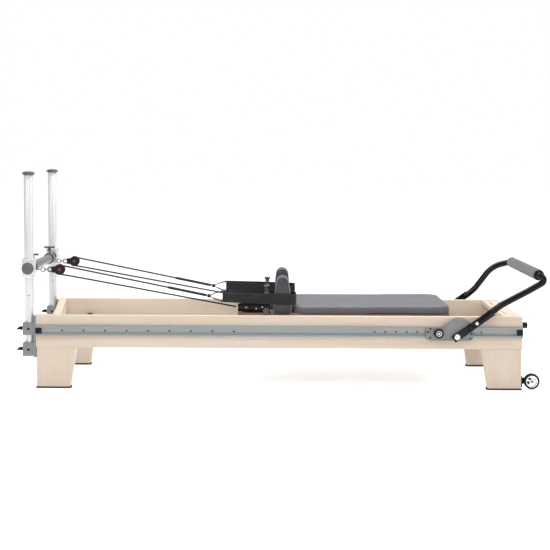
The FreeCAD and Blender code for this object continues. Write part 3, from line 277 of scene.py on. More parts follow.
def tint(tree, shader, first, second, scale=6.0):
    """A soft drift of colour over the surface."""
    drift = noise_node(tree, object_coordinates(tree, (1.0, 1.0, 1.0)), scale, 4.0)
    tree.links.new(ramp(tree, drift, [(0.35, first), (0.65, second)]), shader.inputs["Base Color"])


def maple(name, along):
    """Pale lacquered maple.  along is the axis of the grain."""
    made, tree, shader = plain_material(name, (0.8, 0.7, 0.55), gloss=(0.36, 0.5), spots=5.0)
    stretch = tuple(0.9 if axis == along else 17.0 for axis in "xyz")
    bands = noise_node(tree, object_coordinates(tree, stretch), 1.0, 6.0, 0.62)
    figure = ramp(
        tree,
        bands,
        [(0.3, (0.765, 0.610, 0.475)), (0.48, (0.815, 0.680, 0.550)), (0.7, (0.845, 0.725, 0.605))],
    )
    fine = tuple(9.0 if axis == along else 420.0 for axis in "xyz")
    pores = noise_node(tree, object_coordinates(tree, fine), 1.0, 2.0)
    dark = ramp(tree, pores, [(0.30, (0.86, 0.82, 0.78)), (0.46, (1.0, 1.0, 1.0))])
    both = tree.nodes.new("ShaderNodeMix")
    both.data_type = "RGBA"
    both.blend_type = "MULTIPLY"
    both.inputs["Factor"].default_value = 0.4
    tree.links.new(figure, both.inputs["A"])
    tree.links.new(dark, both.inputs["B"])
    tree.links.new(both.outputs["Result"], shader.inputs["Base Color"])
    bump = tree.nodes.new("ShaderNodeBump")
    bump.inputs["Strength"].default_value = 0.12
    bump.inputs["Distance"].default_value = 0.0004
    tree.links.new(pores, bump.inputs["Height"])
    tree.links.new(bump.outputs["Normal"], shader.inputs["Normal"])
    shader.inputs["Coat Weight"].default_value = 0.12
    shader.inputs["Coat Roughness"].default_value = 0.25
    return made


def plywood():
    """Birch plywood seen on its edge, with a brown stained face."""
    made, tree, shader = plain_material("PlywoodBoard", (0.4, 0.3, 0.2), gloss=(0.5, 0.65))
    layers = tree.nodes.new("ShaderNodeTexWave")
    layers.bands_direction = "Z"
    layers.inputs["Scale"].default_value = 95.0
    layers.inputs["Distortion"].default_value = 1.2
    tree.links.new(object_coordinates(tree, (1.0, 1.0, 1.0)), layers.inputs["Vector"])
    colour = ramp(tree, layers.outputs["Fac"], [(0.2, (0.20, 0.125, 0.075)), (0.8, (0.36, 0.25, 0.16))])
    tree.links.new(colour, shader.inputs["Base Color"])
    return made


def give_surface(tree, shader, group, **values):
    """Gives a shader the normal of a surface group."""
    surface = use_group(tree, group, **values)
    tree.links.new(surface.outputs["Normal"], shader.inputs["Normal"])


def brushed(name, colour, along, gloss=(0.24, 0.36), strength=0.1, metallic=1.0):
    """Drawn or brushed metal with fine lines along one axis; satin anodising lowers metallic."""
    made, tree, shader = plain_material(name, colour, metallic=metallic, gloss=gloss, spots=4.0)
    stretch = tuple(0.006 if axis == along else 1.0 for axis in "xyz")
    give_surface(tree, shader, GRAIN, Stretch=stretch, Scale=700.0, Strength=strength)
    return made


def powder_coat(name, colour, gloss=(0.3, 0.42), shine=0.4, strength=0.15):
    """Powder coat with a fine orange peel."""
    made, tree, shader = plain_material(name, colour, gloss=gloss, spots=14.0)
    give_surface(tree, shader, GRAIN, Scale=850.0, Strength=strength)
    shader.inputs["Specular IOR Level"].default_value = shine
    return made


def moulded(name, colour, gloss=(0.4, 0.55), strength=0.2, shine=0.25):
    """Moulded plastic or rubber with a spark-eroded grain."""
    made, tree, shader = plain_material(name, colour, gloss=gloss, spots=18.0)
    shader.inputs["Specular IOR Level"].default_value = shine
    give_surface(tree, shader, GRAIN, Scale=1400.0, Strength=strength)
    return made


def vinyl(name, low, high, gloss=(0.36, 0.46)):
    """Upholstery vinyl that drifts between two shades."""
    made, tree, shader = plain_material(name, low, gloss=gloss, spots=11.0)
    tint(tree, shader, low, high, 5.0)
    give_surface(tree, shader, PEBBLE, Scale=620.0, Strength=0.3)
    shader.inputs["Sheen Weight"].default_value = 0.12
    shader.inputs["Sheen Roughness"].default_value = 0.4
    return made


def foam():
    """Closed-cell grip foam."""
    made, tree, shader = plain_material("GripFoam", (0.09, 0.09, 0.107), gloss=(0.72, 0.85))
    tint(tree, shader, (0.080, 0.079, 0.096), (0.102, 0.100, 0.118), 22.0)
    give_surface(tree, shader, PEBBLE, Scale=420.0, Strength=0.5)
    shader.inputs["Sheen Weight"].default_value = 0.3
    return made


def braid(name, colour, scale, strength):
    """Braided or woven yarn: two crossing sets of diagonal bands."""
    made, tree, shader = plain_material(name, colour, gloss=(0.7, 0.85))
    coordinates = object_coordinates(tree, (1.0, 1.0, 1.0))
    heights = []
    for turn in (0.7, -0.7):
        mapping = tree.nodes.new("ShaderNodeMapping")
        mapping.inputs["Rotation"].default_value = (0.4, turn, turn)
        tree.links.new(coordinates, mapping.inputs["Vector"])
        wave = tree.nodes.new("ShaderNodeTexWave")
        wave.inputs["Scale"].default_value = scale
        wave.inputs["Distortion"].default_value = 0.6
        tree.links.new(mapping.outputs["Vector"], wave.inputs["Vector"])
        heights.append(wave.outputs["Fac"])
    yarn = math_node(tree, "MULTIPLY", heights[0], heights[1])
    dark = tuple(0.55 * c for c in colour)
    light = tuple(1.7 * c for c in colour)
    tree.links.new(ramp(tree, yarn, [(0.1, dark), (0.8, light)]), shader.inputs["Base Color"])
    bump = tree.nodes.new("ShaderNodeBump")
    bump.inputs["Strength"].default_value = strength
    bump.inputs["Distance"].default_value = 0.0007
    tree.links.new(yarn, bump.inputs["Height"])
    tree.links.new(bump.outputs["Normal"], shader.inputs["Normal"])
    shader.inputs["Sheen Weight"].default_value = 0.25
    return made


MAPLE_ALONG = maple("MapleAlongFrame", "x")
MAPLE_ACROSS = maple("MapleAcrossFrame", "y")
MAPLE_UPRIGHT = maple("MapleUpright", "z")
PLYWOOD = plywood()
TRACK_METAL = brushed("TrackAluminium", (0.34, 0.365, 0.365), "x", (0.42, 0.52), 0.06, 0.45)
POLE_METAL = brushed("PoleAluminium", (0.80, 0.81, 0.83), "z", (0.34, 0.44), 0.03, 0.30)
CROSS_METAL = brushed("CrossbarAluminium", (0.27, 0.28, 0.285), "y", (0.36, 0.46), 0.05, 0.5)
CLAMP_METAL = brushed("ClampAluminium", (0.78, 0.79, 0.80), "z", (0.30, 0.40), 0.03, 0.35)
STEEL = brushed("SatinSteel", (0.42, 0.43, 0.44), "x", (0.28, 0.40), 0.05, 0.9)
BRIGHT_STEEL = brushed("BrightSteel", (0.72, 0.72, 0.73), "z", (0.16, 0.26), 0.03, 0.9)
PLATE_PAINT = powder_coat("PlatePaint", (0.27, 0.28, 0.28))
BRACKET_PAINT = powder_coat("BracketPaint", (0.27, 0.285, 0.29))
BLACK_PAINT = powder_coat("BlackPowderCoat", (0.004, 0.004, 0.004), (0.10, 0.18), 0.22, 0.04)
BLACK_PLASTIC = moulded("BlackPlastic", (0.008, 0.008, 0.009))
GREY_PLASTIC = moulded("GreyPlastic", (0.15, 0.155, 0.16))
DARK_GREY_PLASTIC = moulded("DarkGreyPlastic", (0.11, 0.115, 0.12))
BLACK_RUBBER = moulded("BlackRubber", (0.010, 0.010, 0.010), (0.5, 0.65))
PIN_RED = moulded("PulleyPinCap", (0.22, 0.045, 0.065), (0.3, 0.4), 0.1)
HUB_RED = moulded("PulleyWheel", (0.13, 0.075, 0.085))
PAD_VINYL = vinyl("CarriageVinyl", (0.125, 0.130, 0.145), (0.140, 0.146, 0.162), (0.40, 0.50))
REST_VINYL = vinyl("ShoulderVinyl", (0.050, 0.052, 0.068), (0.062, 0.064, 0.080))
# A lighter copy of the shoulder rests' vinyl: its pale colour is painted highlight along the piping's arch
# edges. The hand loop stitching is drawn in it too.
PAINTED_HIGHLIGHT_VINYL = vinyl("PaintedHighlightVinyl", (0.15, 0.155, 0.17), (0.17, 0.175, 0.19), (0.28, 0.36))
FOAM = foam()
ROPE = braid("RopeBraid", (0.018, 0.018, 0.020), 150.0, 0.7)
WEBBING = braid("LoopWebbing", (0.010, 0.010, 0.011), 230.0, 0.5)


# ---- mesh building

SAME_PLACE = 2e-6
ON_AXIS = 1e-5


class Form:
    """Gathers vertices and faces, and turns them into a piece that rides on a body."""

    def __init__(self):
        self.verts = []
        self.faces = []

    def add(self, verts, faces):
        first = len(self.verts)
        self.verts += [Vector(v) for v in verts]
        self.faces += [tuple(i + first for i in face) for face in faces]
        return self

    def rings(self, rings, closed_ends=True, loop=False):
        """Joins rings of equally many points."""
        count = len(rings[0])
        verts = [p for ring in rings for p in ring]
        faces = []
        steps = len(rings) if loop else len(rings) - 1
        for k in range(steps):
            a, b = k * count, (k + 1) % len(rings) * count
            for i in range(count):
                j = (i + 1) % count
                faces.append((a + i, a + j, b + j, b + i))
        if closed_ends and not loop:
            faces.append(tuple(range(count)))
            faces.append(tuple(range(len(verts) - count, len(verts))))
        return self.add(verts, faces)

    def lathe(self, axis, centre, profile, steps=40, flutes=0, depth=0.0):
        """Turns (place along the axis, radius, fluted) points about an axis through centre."""
        rings = []
        for place, radius, *fluted in profile:
            ring = []
            for i in range(steps):
                angle = 2 * math.pi * i / steps
                r = max(radius, ON_AXIS)
                if fluted and flutes:
                    r -= depth * (0.5 + 0.5 * math.cos(flutes * angle))
                ring.append(turned(axis, centre, place, r, angle))
            rings.append(ring)
        return self.rings(rings)

    def hoop(self, axis, centre, profile, steps=40):
        """Turns a closed section of (place, radius) points, which leaves a hole along the axis."""
        rings = [circle(axis, centre, place, radius, steps) for place, radius in profile]
        return self.rings(rings, loop=True)

    def tube(self, points, radius, sides=12, ends=True, loop=False):
        """A round tube along points.  radius is a number or one number per point."""
        frames = path_frames(points, loop)
        rings = []
        for k, (point, u, v) in enumerate(frames):
            r = radius[k] if isinstance(radius, list) else radius
            turn = [2 * math.pi * i / sides for i in range(sides)]
            rings.append([point + (u * math.cos(t) + v * math.sin(t)) * r for t in turn])
        return self.rings(rings, ends, loop)

    def block(self, low, high, radius=0.0005, segments=2):
        """A box with rounded edges."""
        made = bmesh.new()
        bmesh.ops.create_cube(made, size=1.0)
        low, high = Vector(low), Vector(high)
        for vert in made.verts:
            vert.co = Vector(low[i] + (vert.co[i] + 0.5) * (high[i] - low[i]) for i in range(3))
        edges = made.edges[:]
        bmesh.ops.bevel(made, geom=edges, offset=radius, segments=segments, affect="EDGES", profile=0.5)
        made.verts.index_update()
        verts = [v.co.copy() for v in made.verts]
        faces = [[v.index for v in face.verts] for face in made.faces]
        made.free()
        return self.add(verts, faces)

    def piece(self, name, material, body, slot, replaces=(), angle=35):
        mesh = bpy.data.meshes.new(name)
        mesh.from_pydata(self.verts, [], self.faces)
        made = bmesh.new()
        made.from_mesh(mesh)
        bmesh.ops.remove_doubles(made, verts=made.verts, dist=SAME_PLACE)
        bmesh.ops.recalc_face_normals(made, faces=made.faces)
        made.to_mesh(mesh)
        made.free()
        mesh.materials.append(material)
        obj = bpy.data.objects.new(name, mesh)
        bpy.context.scene.collection.objects.link(obj)
        shade(obj, angle)
        settle(obj, body, replaces)
        return obj


def turned(axis, centre, place, radius, angle):
    """A point at an angle about an axis; place is measured along the axis from zero."""
    u, v = radius * math.cos(angle), radius * math.sin(angle)
    if axis == "x":
        return Vector((place, centre[1] + u, centre[2] + v))
    if axis == "y":
        return Vector((centre[0] + u, place, centre[2] + v))
    return Vector((centre[0] + u, centre[1] + v, place))


def circle(axis, centre, place, radius, steps):
    """Evenly spaced points round an axis."""
    return [turned(axis, centre, place, radius, 2 * math.pi * i / steps) for i in range(steps)]


def path_frames(points, loop=False):
    """Each point with two directions across the path, turned as little as possible."""
    points = [Vector(p) for p in points]
    count = len(points)
    frames = []
    u = None
    for k, point in enumerate(points):
        if loop:
            along = points[(k + 1) % count] - points[k - 1]
        else:
            along = points[min(k + 1, count - 1)] - points[max(k - 1, 0)]
        along.normalize()
        if u is None:
            u = along.cross(Vector((0, 0, 1)))
            if u.length < 0.05:
                u = along.cross(Vector((0, 1, 0)))
        u = (u - along * u.dot(along)).normalized()
        frames.append((point, u, along.cross(u)))
    return frames


def shade(obj, angle):
    for polygon in obj.data.polygons:
        polygon.use_smooth = True
    obj.data.set_sharp_from_angle(angle=math.radians(angle))


def settle(obj, body, replaces=()):
    if body:
        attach(obj, body)
    if replaces:
        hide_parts(*replaces)


def applied(obj):
    """Applies the piece's modifiers to its mesh."""
    graph = bpy.context.evaluated_depsgraph_get()
    mesh = bpy.data.meshes.new_from_object(obj.evaluated_get(graph))
    obj.modifiers.clear()
    obj.data = mesh


def eased(node, material, width, segments=2, sharp=38):
    """The node's own shape with its edges rounded, as a machined or sanded piece has them."""
    mesh = NODES[node].data.copy()
    made = bmesh.new()
    made.from_mesh(mesh)
    bmesh.ops.remove_doubles(made, verts=made.verts, dist=SAME_PLACE)
    flat = math.radians(0.6)
    bmesh.ops.dissolve_limit(made, angle_limit=flat, verts=made.verts, edges=made.edges)
    made.to_mesh(mesh)
    made.free()
    mesh.materials.clear()
    mesh.materials.append(material)
    for polygon in mesh.polygons:
        polygon.material_index = 0
    obj = bpy.data.objects.new(node + "_finished", mesh)
    bpy.context.scene.collection.objects.link(obj)
    bevel = obj.modifiers.new("Edges", "BEVEL")
    bevel.width = width
    bevel.segments = segments
    bevel.limit_method = "ANGLE"
    bevel.angle_limit = math.radians(sharp)
    bevel.use_clamp_overlap = True
    applied(obj)
    shade(obj, sharp)
    settle(obj, NODES[node]["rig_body"], (node,))


def dress(node, material):
    """Gives a node that keeps its shape its own finish."""
    materials = NODES[node].data.materials
    materials.clear()
    materials.append(material)


def corners(node):
    """The lowest and the highest corner of a node."""
    return tuple(Vector(corner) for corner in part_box(node))


def middle(node):
    """The middle of a node's box."""
    low, high = corners(node)
    return (low + high) / 2


# ---- ropes

ROPE_RADIUS = 0.004
ROPE_PLANE = 0.212
PATH_STEP = 0.012
PULLEY = Vector((-1.103, 0.0, 0.577))
PULLEY_PITCH = 0.022
WRAP_START = -97.5
WRAP_STEP = 39.5
LEAVE_PULLEY = PULLEY.x + 0.012
LOWER_LEAD_END = -0.850
UPPER_LEAD_END = -0.985
NOZZLE = Vector((-0.2162, 0.0, 0.394))
KNOT = Vector((-0.353, 0.0, 0.448))
KNOT_RADIUS = 0.011
SLEEVE_LENGTH = 0.201


def rope_route():
    """Control points in the XZ plane: a straight run, round the pulley, and a straight run."""
    out = PULLEY_PITCH / math.cos(math.radians(22.5))
    wrap = []
    for step in range(5):
        angle = math.radians(WRAP_START - WRAP_STEP * step)
        wrap.append(PULLEY + Vector((math.cos(angle), 0, math.sin(angle))) * out)
    low = PULLEY + Vector((-0.0044, 0, -PULLEY_PITCH * 0.98))
    high = PULLEY + Vector((0.0044, 0, PULLEY_PITCH * 0.98))
    low_run = (NOZZLE - low).normalized()
    high_run = (KNOT - high).normalized()
    first = [NOZZLE, low + low_run * 0.45, low + low_run * 0.05]
    last = [high + high_run * 0.05, high + high_run * 0.35, KNOT - high_run * KNOT_RADIUS]
    return first + wrap + last


def smooth_line(points, side):
    """Points along the smooth curve of a route."""
    data = bpy.data.curves.new("Route", "CURVE")
    data.dimensions = "3D"
    data.resolution_u = 24
    spline = data.splines.new("NURBS")
    spline.points.add(len(points) - 1)
    for place, point in zip(spline.points, points):
        place.co = (point.x, side * ROPE_PLANE, point.z, 1.0)
    spline.order_u = 3
    spline.use_endpoint_u = True
    holder = bpy.data.objects.new("Route", data)
    bpy.context.scene.collection.objects.link(holder)
    graph = bpy.context.evaluated_depsgraph_get()
    mesh = bpy.data.meshes.new_from_object(holder.evaluated_get(graph))
    line = [v.co.copy() for v in mesh.vertices]
    bpy.data.objects.remove(holder)
    bpy.data.curves.remove(data)
    bpy.data.meshes.remove(mesh)
    return line


def resampled(line, step):
    """The same line with points at most step apart."""
    points = [line[0]]
    for start, end in zip(line, line[1:]):
        count = max(1, math.ceil((end - start).length / step))
        points += [start.lerp(end, k / count) for k in range(1, count + 1)]
    return points


def rope_piece(name, points, body, node):
    """One stretch of rope, a round tube along its points."""
    obj = Form().tube(points, ROPE_RADIUS, 14).piece(name, ROPE, body, "rope", (node,), 60)
    return obj


def between(points, start, end):
    """The points of a line from one place along X to another."""
    slack = 1e-4
    return [p for p in points if start - slack <= p.x <= end + slack]


def make_rope(name, side):
    """The rope in five stretches, so that each follows what it hangs on."""
    node = f"rope_{name}"
    line = resampled(smooth_line(rope_route(), side), PATH_STEP)
    turn = min(range(len(line)), key=lambda k: line[k].x)
    lower, upper = line[: turn + 1], line[turn:]
    start, end = line[turn].x, 0
    run_low = between(lower, LOWER_LEAD_END, end)
    lead_low = between(lower, LEAVE_PULLEY, LOWER_LEAD_END)
    wrap = between(lower, start, LEAVE_PULLEY) + between(upper, start, LEAVE_PULLEY)[1:]
    lead_high = between(upper, LEAVE_PULLEY, UPPER_LEAD_END)
    run_high = between(upper, UPPER_LEAD_END, end)
    stretches = [run_low, lead_low, wrap, lead_high, run_high]
    for first, second in zip(stretches, stretches[1:]):
        if (first[-1] - second[0]).length > 1e-6:
            second.insert(0, first[-1].copy())
    lower_run = rope_piece(node + "_lower_run", run_low, "frame", node)
    lower_lead = rope_piece(node + "_lower_lead", lead_low, None, node)
    rope_piece(node + "_pulley_wrap", wrap, "crossbar", node)
    upper_lead = rope_piece(node + "_upper_lead", lead_high, None, node)
    upper_run = rope_piece(node + "_upper_run", run_high, "frame", node)
    sleeve = rope_sleeve(node, run_high)
    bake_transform(lower_lead)
    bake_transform(upper_lead)
    shorten(lower_run)
    shorten(upper_run)
    shorten(sleeve)


def shorten(piece):
    """Gives a stretch of rope its own copy of its mesh."""
    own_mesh(piece)


def rope_sleeve(node, run):
    """The doubled stretch before the knot, with two whippings at its start and one at its end."""
    covered = [p for p in run if p.x > run[-1].x - SLEEVE_LENGTH]
    count = len(covered)
    radii = []
    for k in range(count):
        fullness = min(1.0, k / 2, (count - 1 - k) / 1.5 + 0.6)
        radii.append(0.0046 + 0.0022 * fullness)
    form = Form().tube(covered, radii, 14)
    for start in (1, 3, count - 4):
        form.tube([covered[start], covered[start + 1]], 0.0072, 14)
    return form.piece(node + "_sleeve", ROPE, "frame", "rope", (node,), 60)


for rope_name, rope_side in SIDES.items():
    make_rope(rope_name, rope_side)


# ---- hand loops

LOOP_HALF = 0.027
LOOP_LOW = 0.407
LOOP_RISE = math.tan(math.radians(1.9))
LOOP_THICK = 0.0015
LOOP_TIP = -0.285
LOOP_FRONT = 0.086
LOOP_SHOULDER = -0.095
LOOP_PLANE = 0.192
LOOP_WIDE = 0.060
LOOP_TIP_WIDE = 0.020
STITCH_FIRST = -0.268
STITCH_PITCH = 0.007
STITCH_LENGTH = 0.0042
BAR_X = -0.2889
CORD_SPREAD = 0.0176
CORD_RISE = 0.9


def loop_height(x):
    """The middle of the webbing, which rises a little towards its tip."""
    return LOOP_LOW + LOOP_HALF + (LOOP_FRONT - x) * LOOP_RISE


def loop_line(side):
    """The middle line of the webbing, seen from above, with rounded corners."""
    tip, front = LOOP_TIP + LOOP_THICK, LOOP_FRONT - LOOP_THICK
    wide, tip_wide = LOOP_WIDE - LOOP_THICK, LOOP_TIP_WIDE - LOOP_THICK
    turns = [
        ((tip, ROPE_PLANE + tip_wide), 0.006),
        ((LOOP_SHOULDER, LOOP_PLANE + wide), 0.05),
        ((front, LOOP_PLANE + wide), 0.0285),
        ((front, LOOP_PLANE - wide), 0.0285),
        ((LOOP_SHOULDER, LOOP_PLANE - wide), 0.05),
        ((tip, ROPE_PLANE - tip_wide), 0.006),
    ]
    points = []
    for k, (place, radius) in enumerate(turns):
        here = Vector((*place, 0))
        before = Vector((*turns[k - 1][0], 0)) - here
        after = Vector((*turns[(k + 1) % len(turns)][0], 0)) - here
        back = radius * math.tan((math.pi - before.angle(after)) / 2)
        start = here + before.normalized() * back
        end = here + after.normalized() * back
        for step in range(9):
            t = step / 8
            points.append(start.lerp(here, t).lerp(here.lerp(end, t), t))
    line = resampled(points + [points[0]], PATH_STEP)[:-1]
    return [Vector((p.x, side * p.y, 0)) for p in line]


# The section of the webbing: across its thickness, and up its width.
WEBBING_SECTION = [
    (-1, -1),
    (-0.9, -1),
    (0.9, -1),
    (1, -0.97),
    (1.2, 0),
    (1, 0.97),
    (0.9, 1),
    (-0.9, 1),
    (-1, 0.97),
    (-0.8, 0),
]


def make_loop(name, side):
    """Webbing on edge round the post and the shoulder rest, with stitching near its tip."""
    rings = []
    centre = Vector((-0.03, side * LOOP_PLANE, 0))
    for k, (point, u, _) in enumerate(path_frames(loop_line(side), True)):
        u = Vector((u.x, u.y, 0)).normalized()
        if u.dot(point - centre) < 0:
            u = -u
        ripple = 0.0007 * math.sin(point.x * 47 + side) * math.sin(k * 0.9)
        ring = []
        for across, up in WEBBING_SECTION:
            offset = u * (across * LOOP_THICK + ripple * (1 - abs(up) * 0.4))
            ring.append(Vector((point.x, point.y, loop_height(point.x) + up * LOOP_HALF)) + offset)
        rings.append(ring)
    webbing = Form().rings(rings, loop=True)
    webbing.piece(f"hand_loop_{name}", WEBBING, "carriage", "webbing", ("hand_loops",), 40)
    stitches = Form()
    for face in (-1, 1):
        for k in range(12):
            x = STITCH_FIRST + k * STITCH_PITCH
            along = (x - LOOP_TIP) / (LOOP_SHOULDER - LOOP_TIP)
            tip_y = ROPE_PLANE + face * LOOP_TIP_WIDE
            y = side * (tip_y + along * (LOOP_PLANE + face * LOOP_WIDE - tip_y) + face * 0.0006)
            z = loop_height(x)
            for up in (-0.018, 0.018):
                start = Vector((x, y, z + up))
                stitches.tube([start, start + Vector((STITCH_LENGTH, 0, 0))], 0.0006, 6)
    stitches.piece(f"hand_loop_stitching_{name}", PAINTED_HIGHLIGHT_VINYL, "carriage", "webbing", ("hand_loops",))


def make_loop_tip(name, side):
    """The knot, the thin cords, and the two bars that the webbing's corners fold round."""
    plane = side * ROPE_PLANE
    knot = Vector((KNOT.x, plane, KNOT.z))
    bar_z = LOOP_LOW + LOOP_HALF + (LOOP_FRONT - LOOP_TIP) * LOOP_RISE
    form = Form()
    for turn in range(3):
        tilt = Matrix.Rotation(math.radians(60 * turn), 3, "X") @ Matrix.Rotation(math.radians(35), 3, "Y")
        ring = []
        for i in range(28):
            a = 2 * math.pi * i / 28
            ring.append(knot + tilt @ Vector((math.cos(a) * 0.0068, math.sin(a) * 0.0062, 0)))
        form.tube(ring, 0.0038, 10, loop=True)
    for up in (-CORD_RISE, CORD_RISE):
        for out in (-1, 1):
            end = Vector((BAR_X, plane + out * CORD_SPREAD, bar_z + up * LOOP_HALF))
            points = []
            for k in range(9):
                bow = math.sin(math.pi * k / 8)
                points.append(knot.lerp(end, k / 8) + Vector((0, 0.0022 * out, 0.0030 * up)) * bow)
            form.tube(points, 0.0017, 10)
    form.piece(f"loop_cords_{name}", ROPE, "carriage", "webbing", ("hand_loops",), 50)
    bars = Form()
    ends = [(-0.0215, 0.0), (-0.0215, 0.0030), (-0.0195, 0.0034), (-0.0185, 0.0024)]
    profile = [(plane + y, r) for y, r in ends] + [(plane - y, r) for y, r in reversed(ends)]
    for up in (-CORD_RISE, CORD_RISE):
        bars.lathe("y", (BAR_X, 0, bar_z + up * LOOP_HALF), profile, 24)
    bars.piece(f"loop_bars_{name}", BLACK_PLASTIC, "carriage", "steel", ("hand_loops",))


for loop_name, loop_side in SIDES.items():
    make_loop(loop_name, loop_side)
    make_loop_tip(loop_name, loop_side)


# ---- wooden frame


def make_wood():
    eased("side_boards", MAPLE_ALONG, 0.0022, 3)
    eased("head_board", MAPLE_ACROSS, 0.0022, 3)
    eased("foot_board", MAPLE_ACROSS, 0.0015, 2)
    eased("foot_platform", MAPLE_ACROSS, 0.0015, 2)
    eased("legs", MAPLE_UPRIGHT, 0.0022, 3)
    eased("cross_beams", MAPLE_ACROSS, 0.002, 2)
    eased("foot_pads", BLACK_RUBBER, 0.0018, 3)


# ---- screws


def hex_screw(form, axis, centre, start, direction, radius, height):
    """A button head with a hexagon socket, standing on start and pointing along direction."""
    steps = 24
    top = start + direction * height
    floor = start + direction * height * 0.35
    profile = [(0.0, 0.0), (0.0, 0.93), (0.45, 1.0), (0.8, 0.9), (1.0, 0.68)]
    rings = []
    for depth, share in profile:
        place = start + direction * depth * height
        rings.append(circle(axis, centre, place, max(radius * share, ON_AXIS), steps))
    for place, scale in ((top, 1.0), (floor, 1.0), (floor, 0.02)):
        ring = []
        for i in range(steps):
            a = 2 * math.pi * i / steps
            hexagon = math.cos(math.pi / 6) / math.cos((a % (math.pi / 3)) - math.pi / 6)
            ring.append(turned(axis, centre, place, radius * 0.46 * hexagon * scale, a))
        rings.append(ring)
    form.rings(rings, closed_ends=False)


def solids_of(node):
    """The lowest and highest corner of each separate solid of a node, in order."""
    mesh = bmesh.new()
    mesh.from_mesh(NODES[node].data)
    bmesh.ops.remove_doubles(mesh, verts=mesh.verts, dist=SAME_PLACE)
    left = set(mesh.verts)
    found = []
    while left:
        stack = [left.pop()]
        island = []
        while stack:
            vert = stack.pop()
            island.append(vert.co.copy())
            for edge in vert.link_edges:
                other = edge.other_vert(vert)
                if other in left:
                    left.remove(other)
                    stack.append(other)
        low = Vector(min(v[i] for v in island) for i in range(3))
        high = Vector(max(v[i] for v in island) for i in range(3))
        found.append((low, high))
    mesh.free()
    return sorted(found, key=lambda pair: tuple(pair[0]))


def make_screws(node, material, body):
    """A hexagon socket screw in place of each solid of a node."""
    form = Form()
    for low, high in solids_of(node):
        centre = (low + high) / 2
        out = 1 if centre.y > 0 else -1
        face = low.y if out > 0 else high.y
        hex_screw(form, "y", centre, face, out, (high.x - low.x) / 2, high.y - low.y)
    form.piece(node + "_heads", material, body, "steel", (node,))


# ---- tracks

TRACK_DEPTH = 0.009
EDGE_RIBS = (-0.0205, -0.0172, 0.0172, 0.0205)
FLOOR_RIBS = (-0.0085, 0.0085)
HEAD_HOLES = [-1.070 + 0.1058 * k for k in range(9)]
FOOT_HOLES = [0.470 + 0.0526 * k for k in range(11)]


def make_tracks():
    eased("tracks", TRACK_METAL, 0.0006, 2)
    low, high = corners("tracks")
    middle_z = (low.z + high.z) / 2
    floor = high.y - TRACK_DEPTH
    ribs = Form()

    def rib(side, z, base, rise, half, inset):
        near, far = sorted((side * base - side * 0.0004, side * base + side * rise))
        ribs.block((low.x + inset, near, z - half), (high.x - inset, far, z + half), 0.0002, 1)

    for side in SIDES.values():
        for offset in EDGE_RIBS:
            rib(side, middle_z + offset, high.y, 0.0005, 0.0005, 0.0006)
        for offset in FLOOR_RIBS:
            rib(side, middle_z + offset, floor, 0.0006, 0.0006, 0.03)
    ribs.piece("track_ribs", TRACK_METAL, "frame", "aluminium")
    make_screws("track_screws", STEEL, "frame")
    make_hole_bushes(middle_z, floor)
    make_track_caps()
    eased("inner_rails", TRACK_METAL, 0.0006, 2)
    eased("spring_bar", TRACK_METAL, 0.0015, 2)


def make_hole_bushes(height, floor):
    """Dark bushes that line the index holes of both tracks."""
    form = Form()
    for side in SIDES.values():
        back, face = side * (floor - 0.003), side * (floor + 0.0004)
        hollow = back + side * 0.001
        wall = [(back, 0.0), (back, 0.0044), (face, 0.0044), (face, 0.0030)]
        profile = wall + [(hollow, 0.0026), (hollow, 0.0)]
        for x in HEAD_HOLES + FOOT_HOLES:
            form.lathe("y", (x, 0, height), profile, 24)
    form.piece("index_hole_bushes", BLACK_PLASTIC, "frame", "dark_plastic")


def make_track_caps():
    """Square channel caps with a raised rim and a diagonal cross."""
    for k, (low, high) in enumerate(solids_of("track_end_caps")):
        face = high.y if low.y > 0 else low.y
        form = Form().block(low, high, 0.0015, 2)
        size = high - low
        centre = (low + high) / 2

        def on_face(across, up, share):
            return Vector((centre.x + across * size.x * share, face, centre.z + up * size.z * share))

        for rise in (-1, 1):
            form.tube([on_face(-1, -rise, 0.34), on_face(1, rise, 0.34)], 0.0011, 8)
        rim = [on_face(across, up, 0.40) for across, up in ((-1, -1), (1, -1), (1, 1), (-1, 1))]
        form.tube(resampled(rim + [rim[0]], 0.004)[:-1], 0.0011, 8, loop=True)
        form.piece(f"track_end_cap_{k}", BLACK_PLASTIC, "frame", "dark_plastic", ("track_end_caps",))


# ---- poles

POLE_PLANE = 0.300
SOCKET_FACE = 0.028
SOCKET_BOLT_HEIGHTS = (0.1915, 0.294)
HANDLE_RADIUS = 0.0058
HANDLE_INSET = 0.006


def make_poles():
    eased("poles", POLE_METAL, 0.0004, 1, 50)
    eased("pole_brackets", BRACKET_PAINT, 0.0022, 3, 50)
    x = middle("poles").x
    low, high = corners("pole_caps")
    rise = high.z - low.z
    profile = [(low.z, 0.0), (low.z, 0.0285), (low.z + 0.001, 0.0302), (low.z + rise * 0.30, 0.0305)]
    for k in range(1, 9):
        t = math.radians(90 * k / 8)
        profile.append((low.z + rise * (0.42 + 0.58 * math.sin(t)), 0.0292 * math.cos(t) ** 0.75))
    for name, side in SIDES.items():
        cap = Form().lathe("z", (x, side * POLE_PLANE, 0), profile, 48)
        cap.piece(f"pole_cap_{name}", DARK_GREY_PLASTIC, "frame", "grey_plastic", ("pole_caps",))
        bolts = Form()
        for z in SOCKET_BOLT_HEIGHTS:
            hex_screw(bolts, "y", (x, 0, z), side * POLE_PLANE - SOCKET_FACE, -1, 0.0062, 0.0022)
        bolts.piece(f"socket_bolts_{name}", BLACK_PLASTIC, "frame", "dark_plastic")
        for level in ("low", "high"):
            make_wing_screw(name, level)


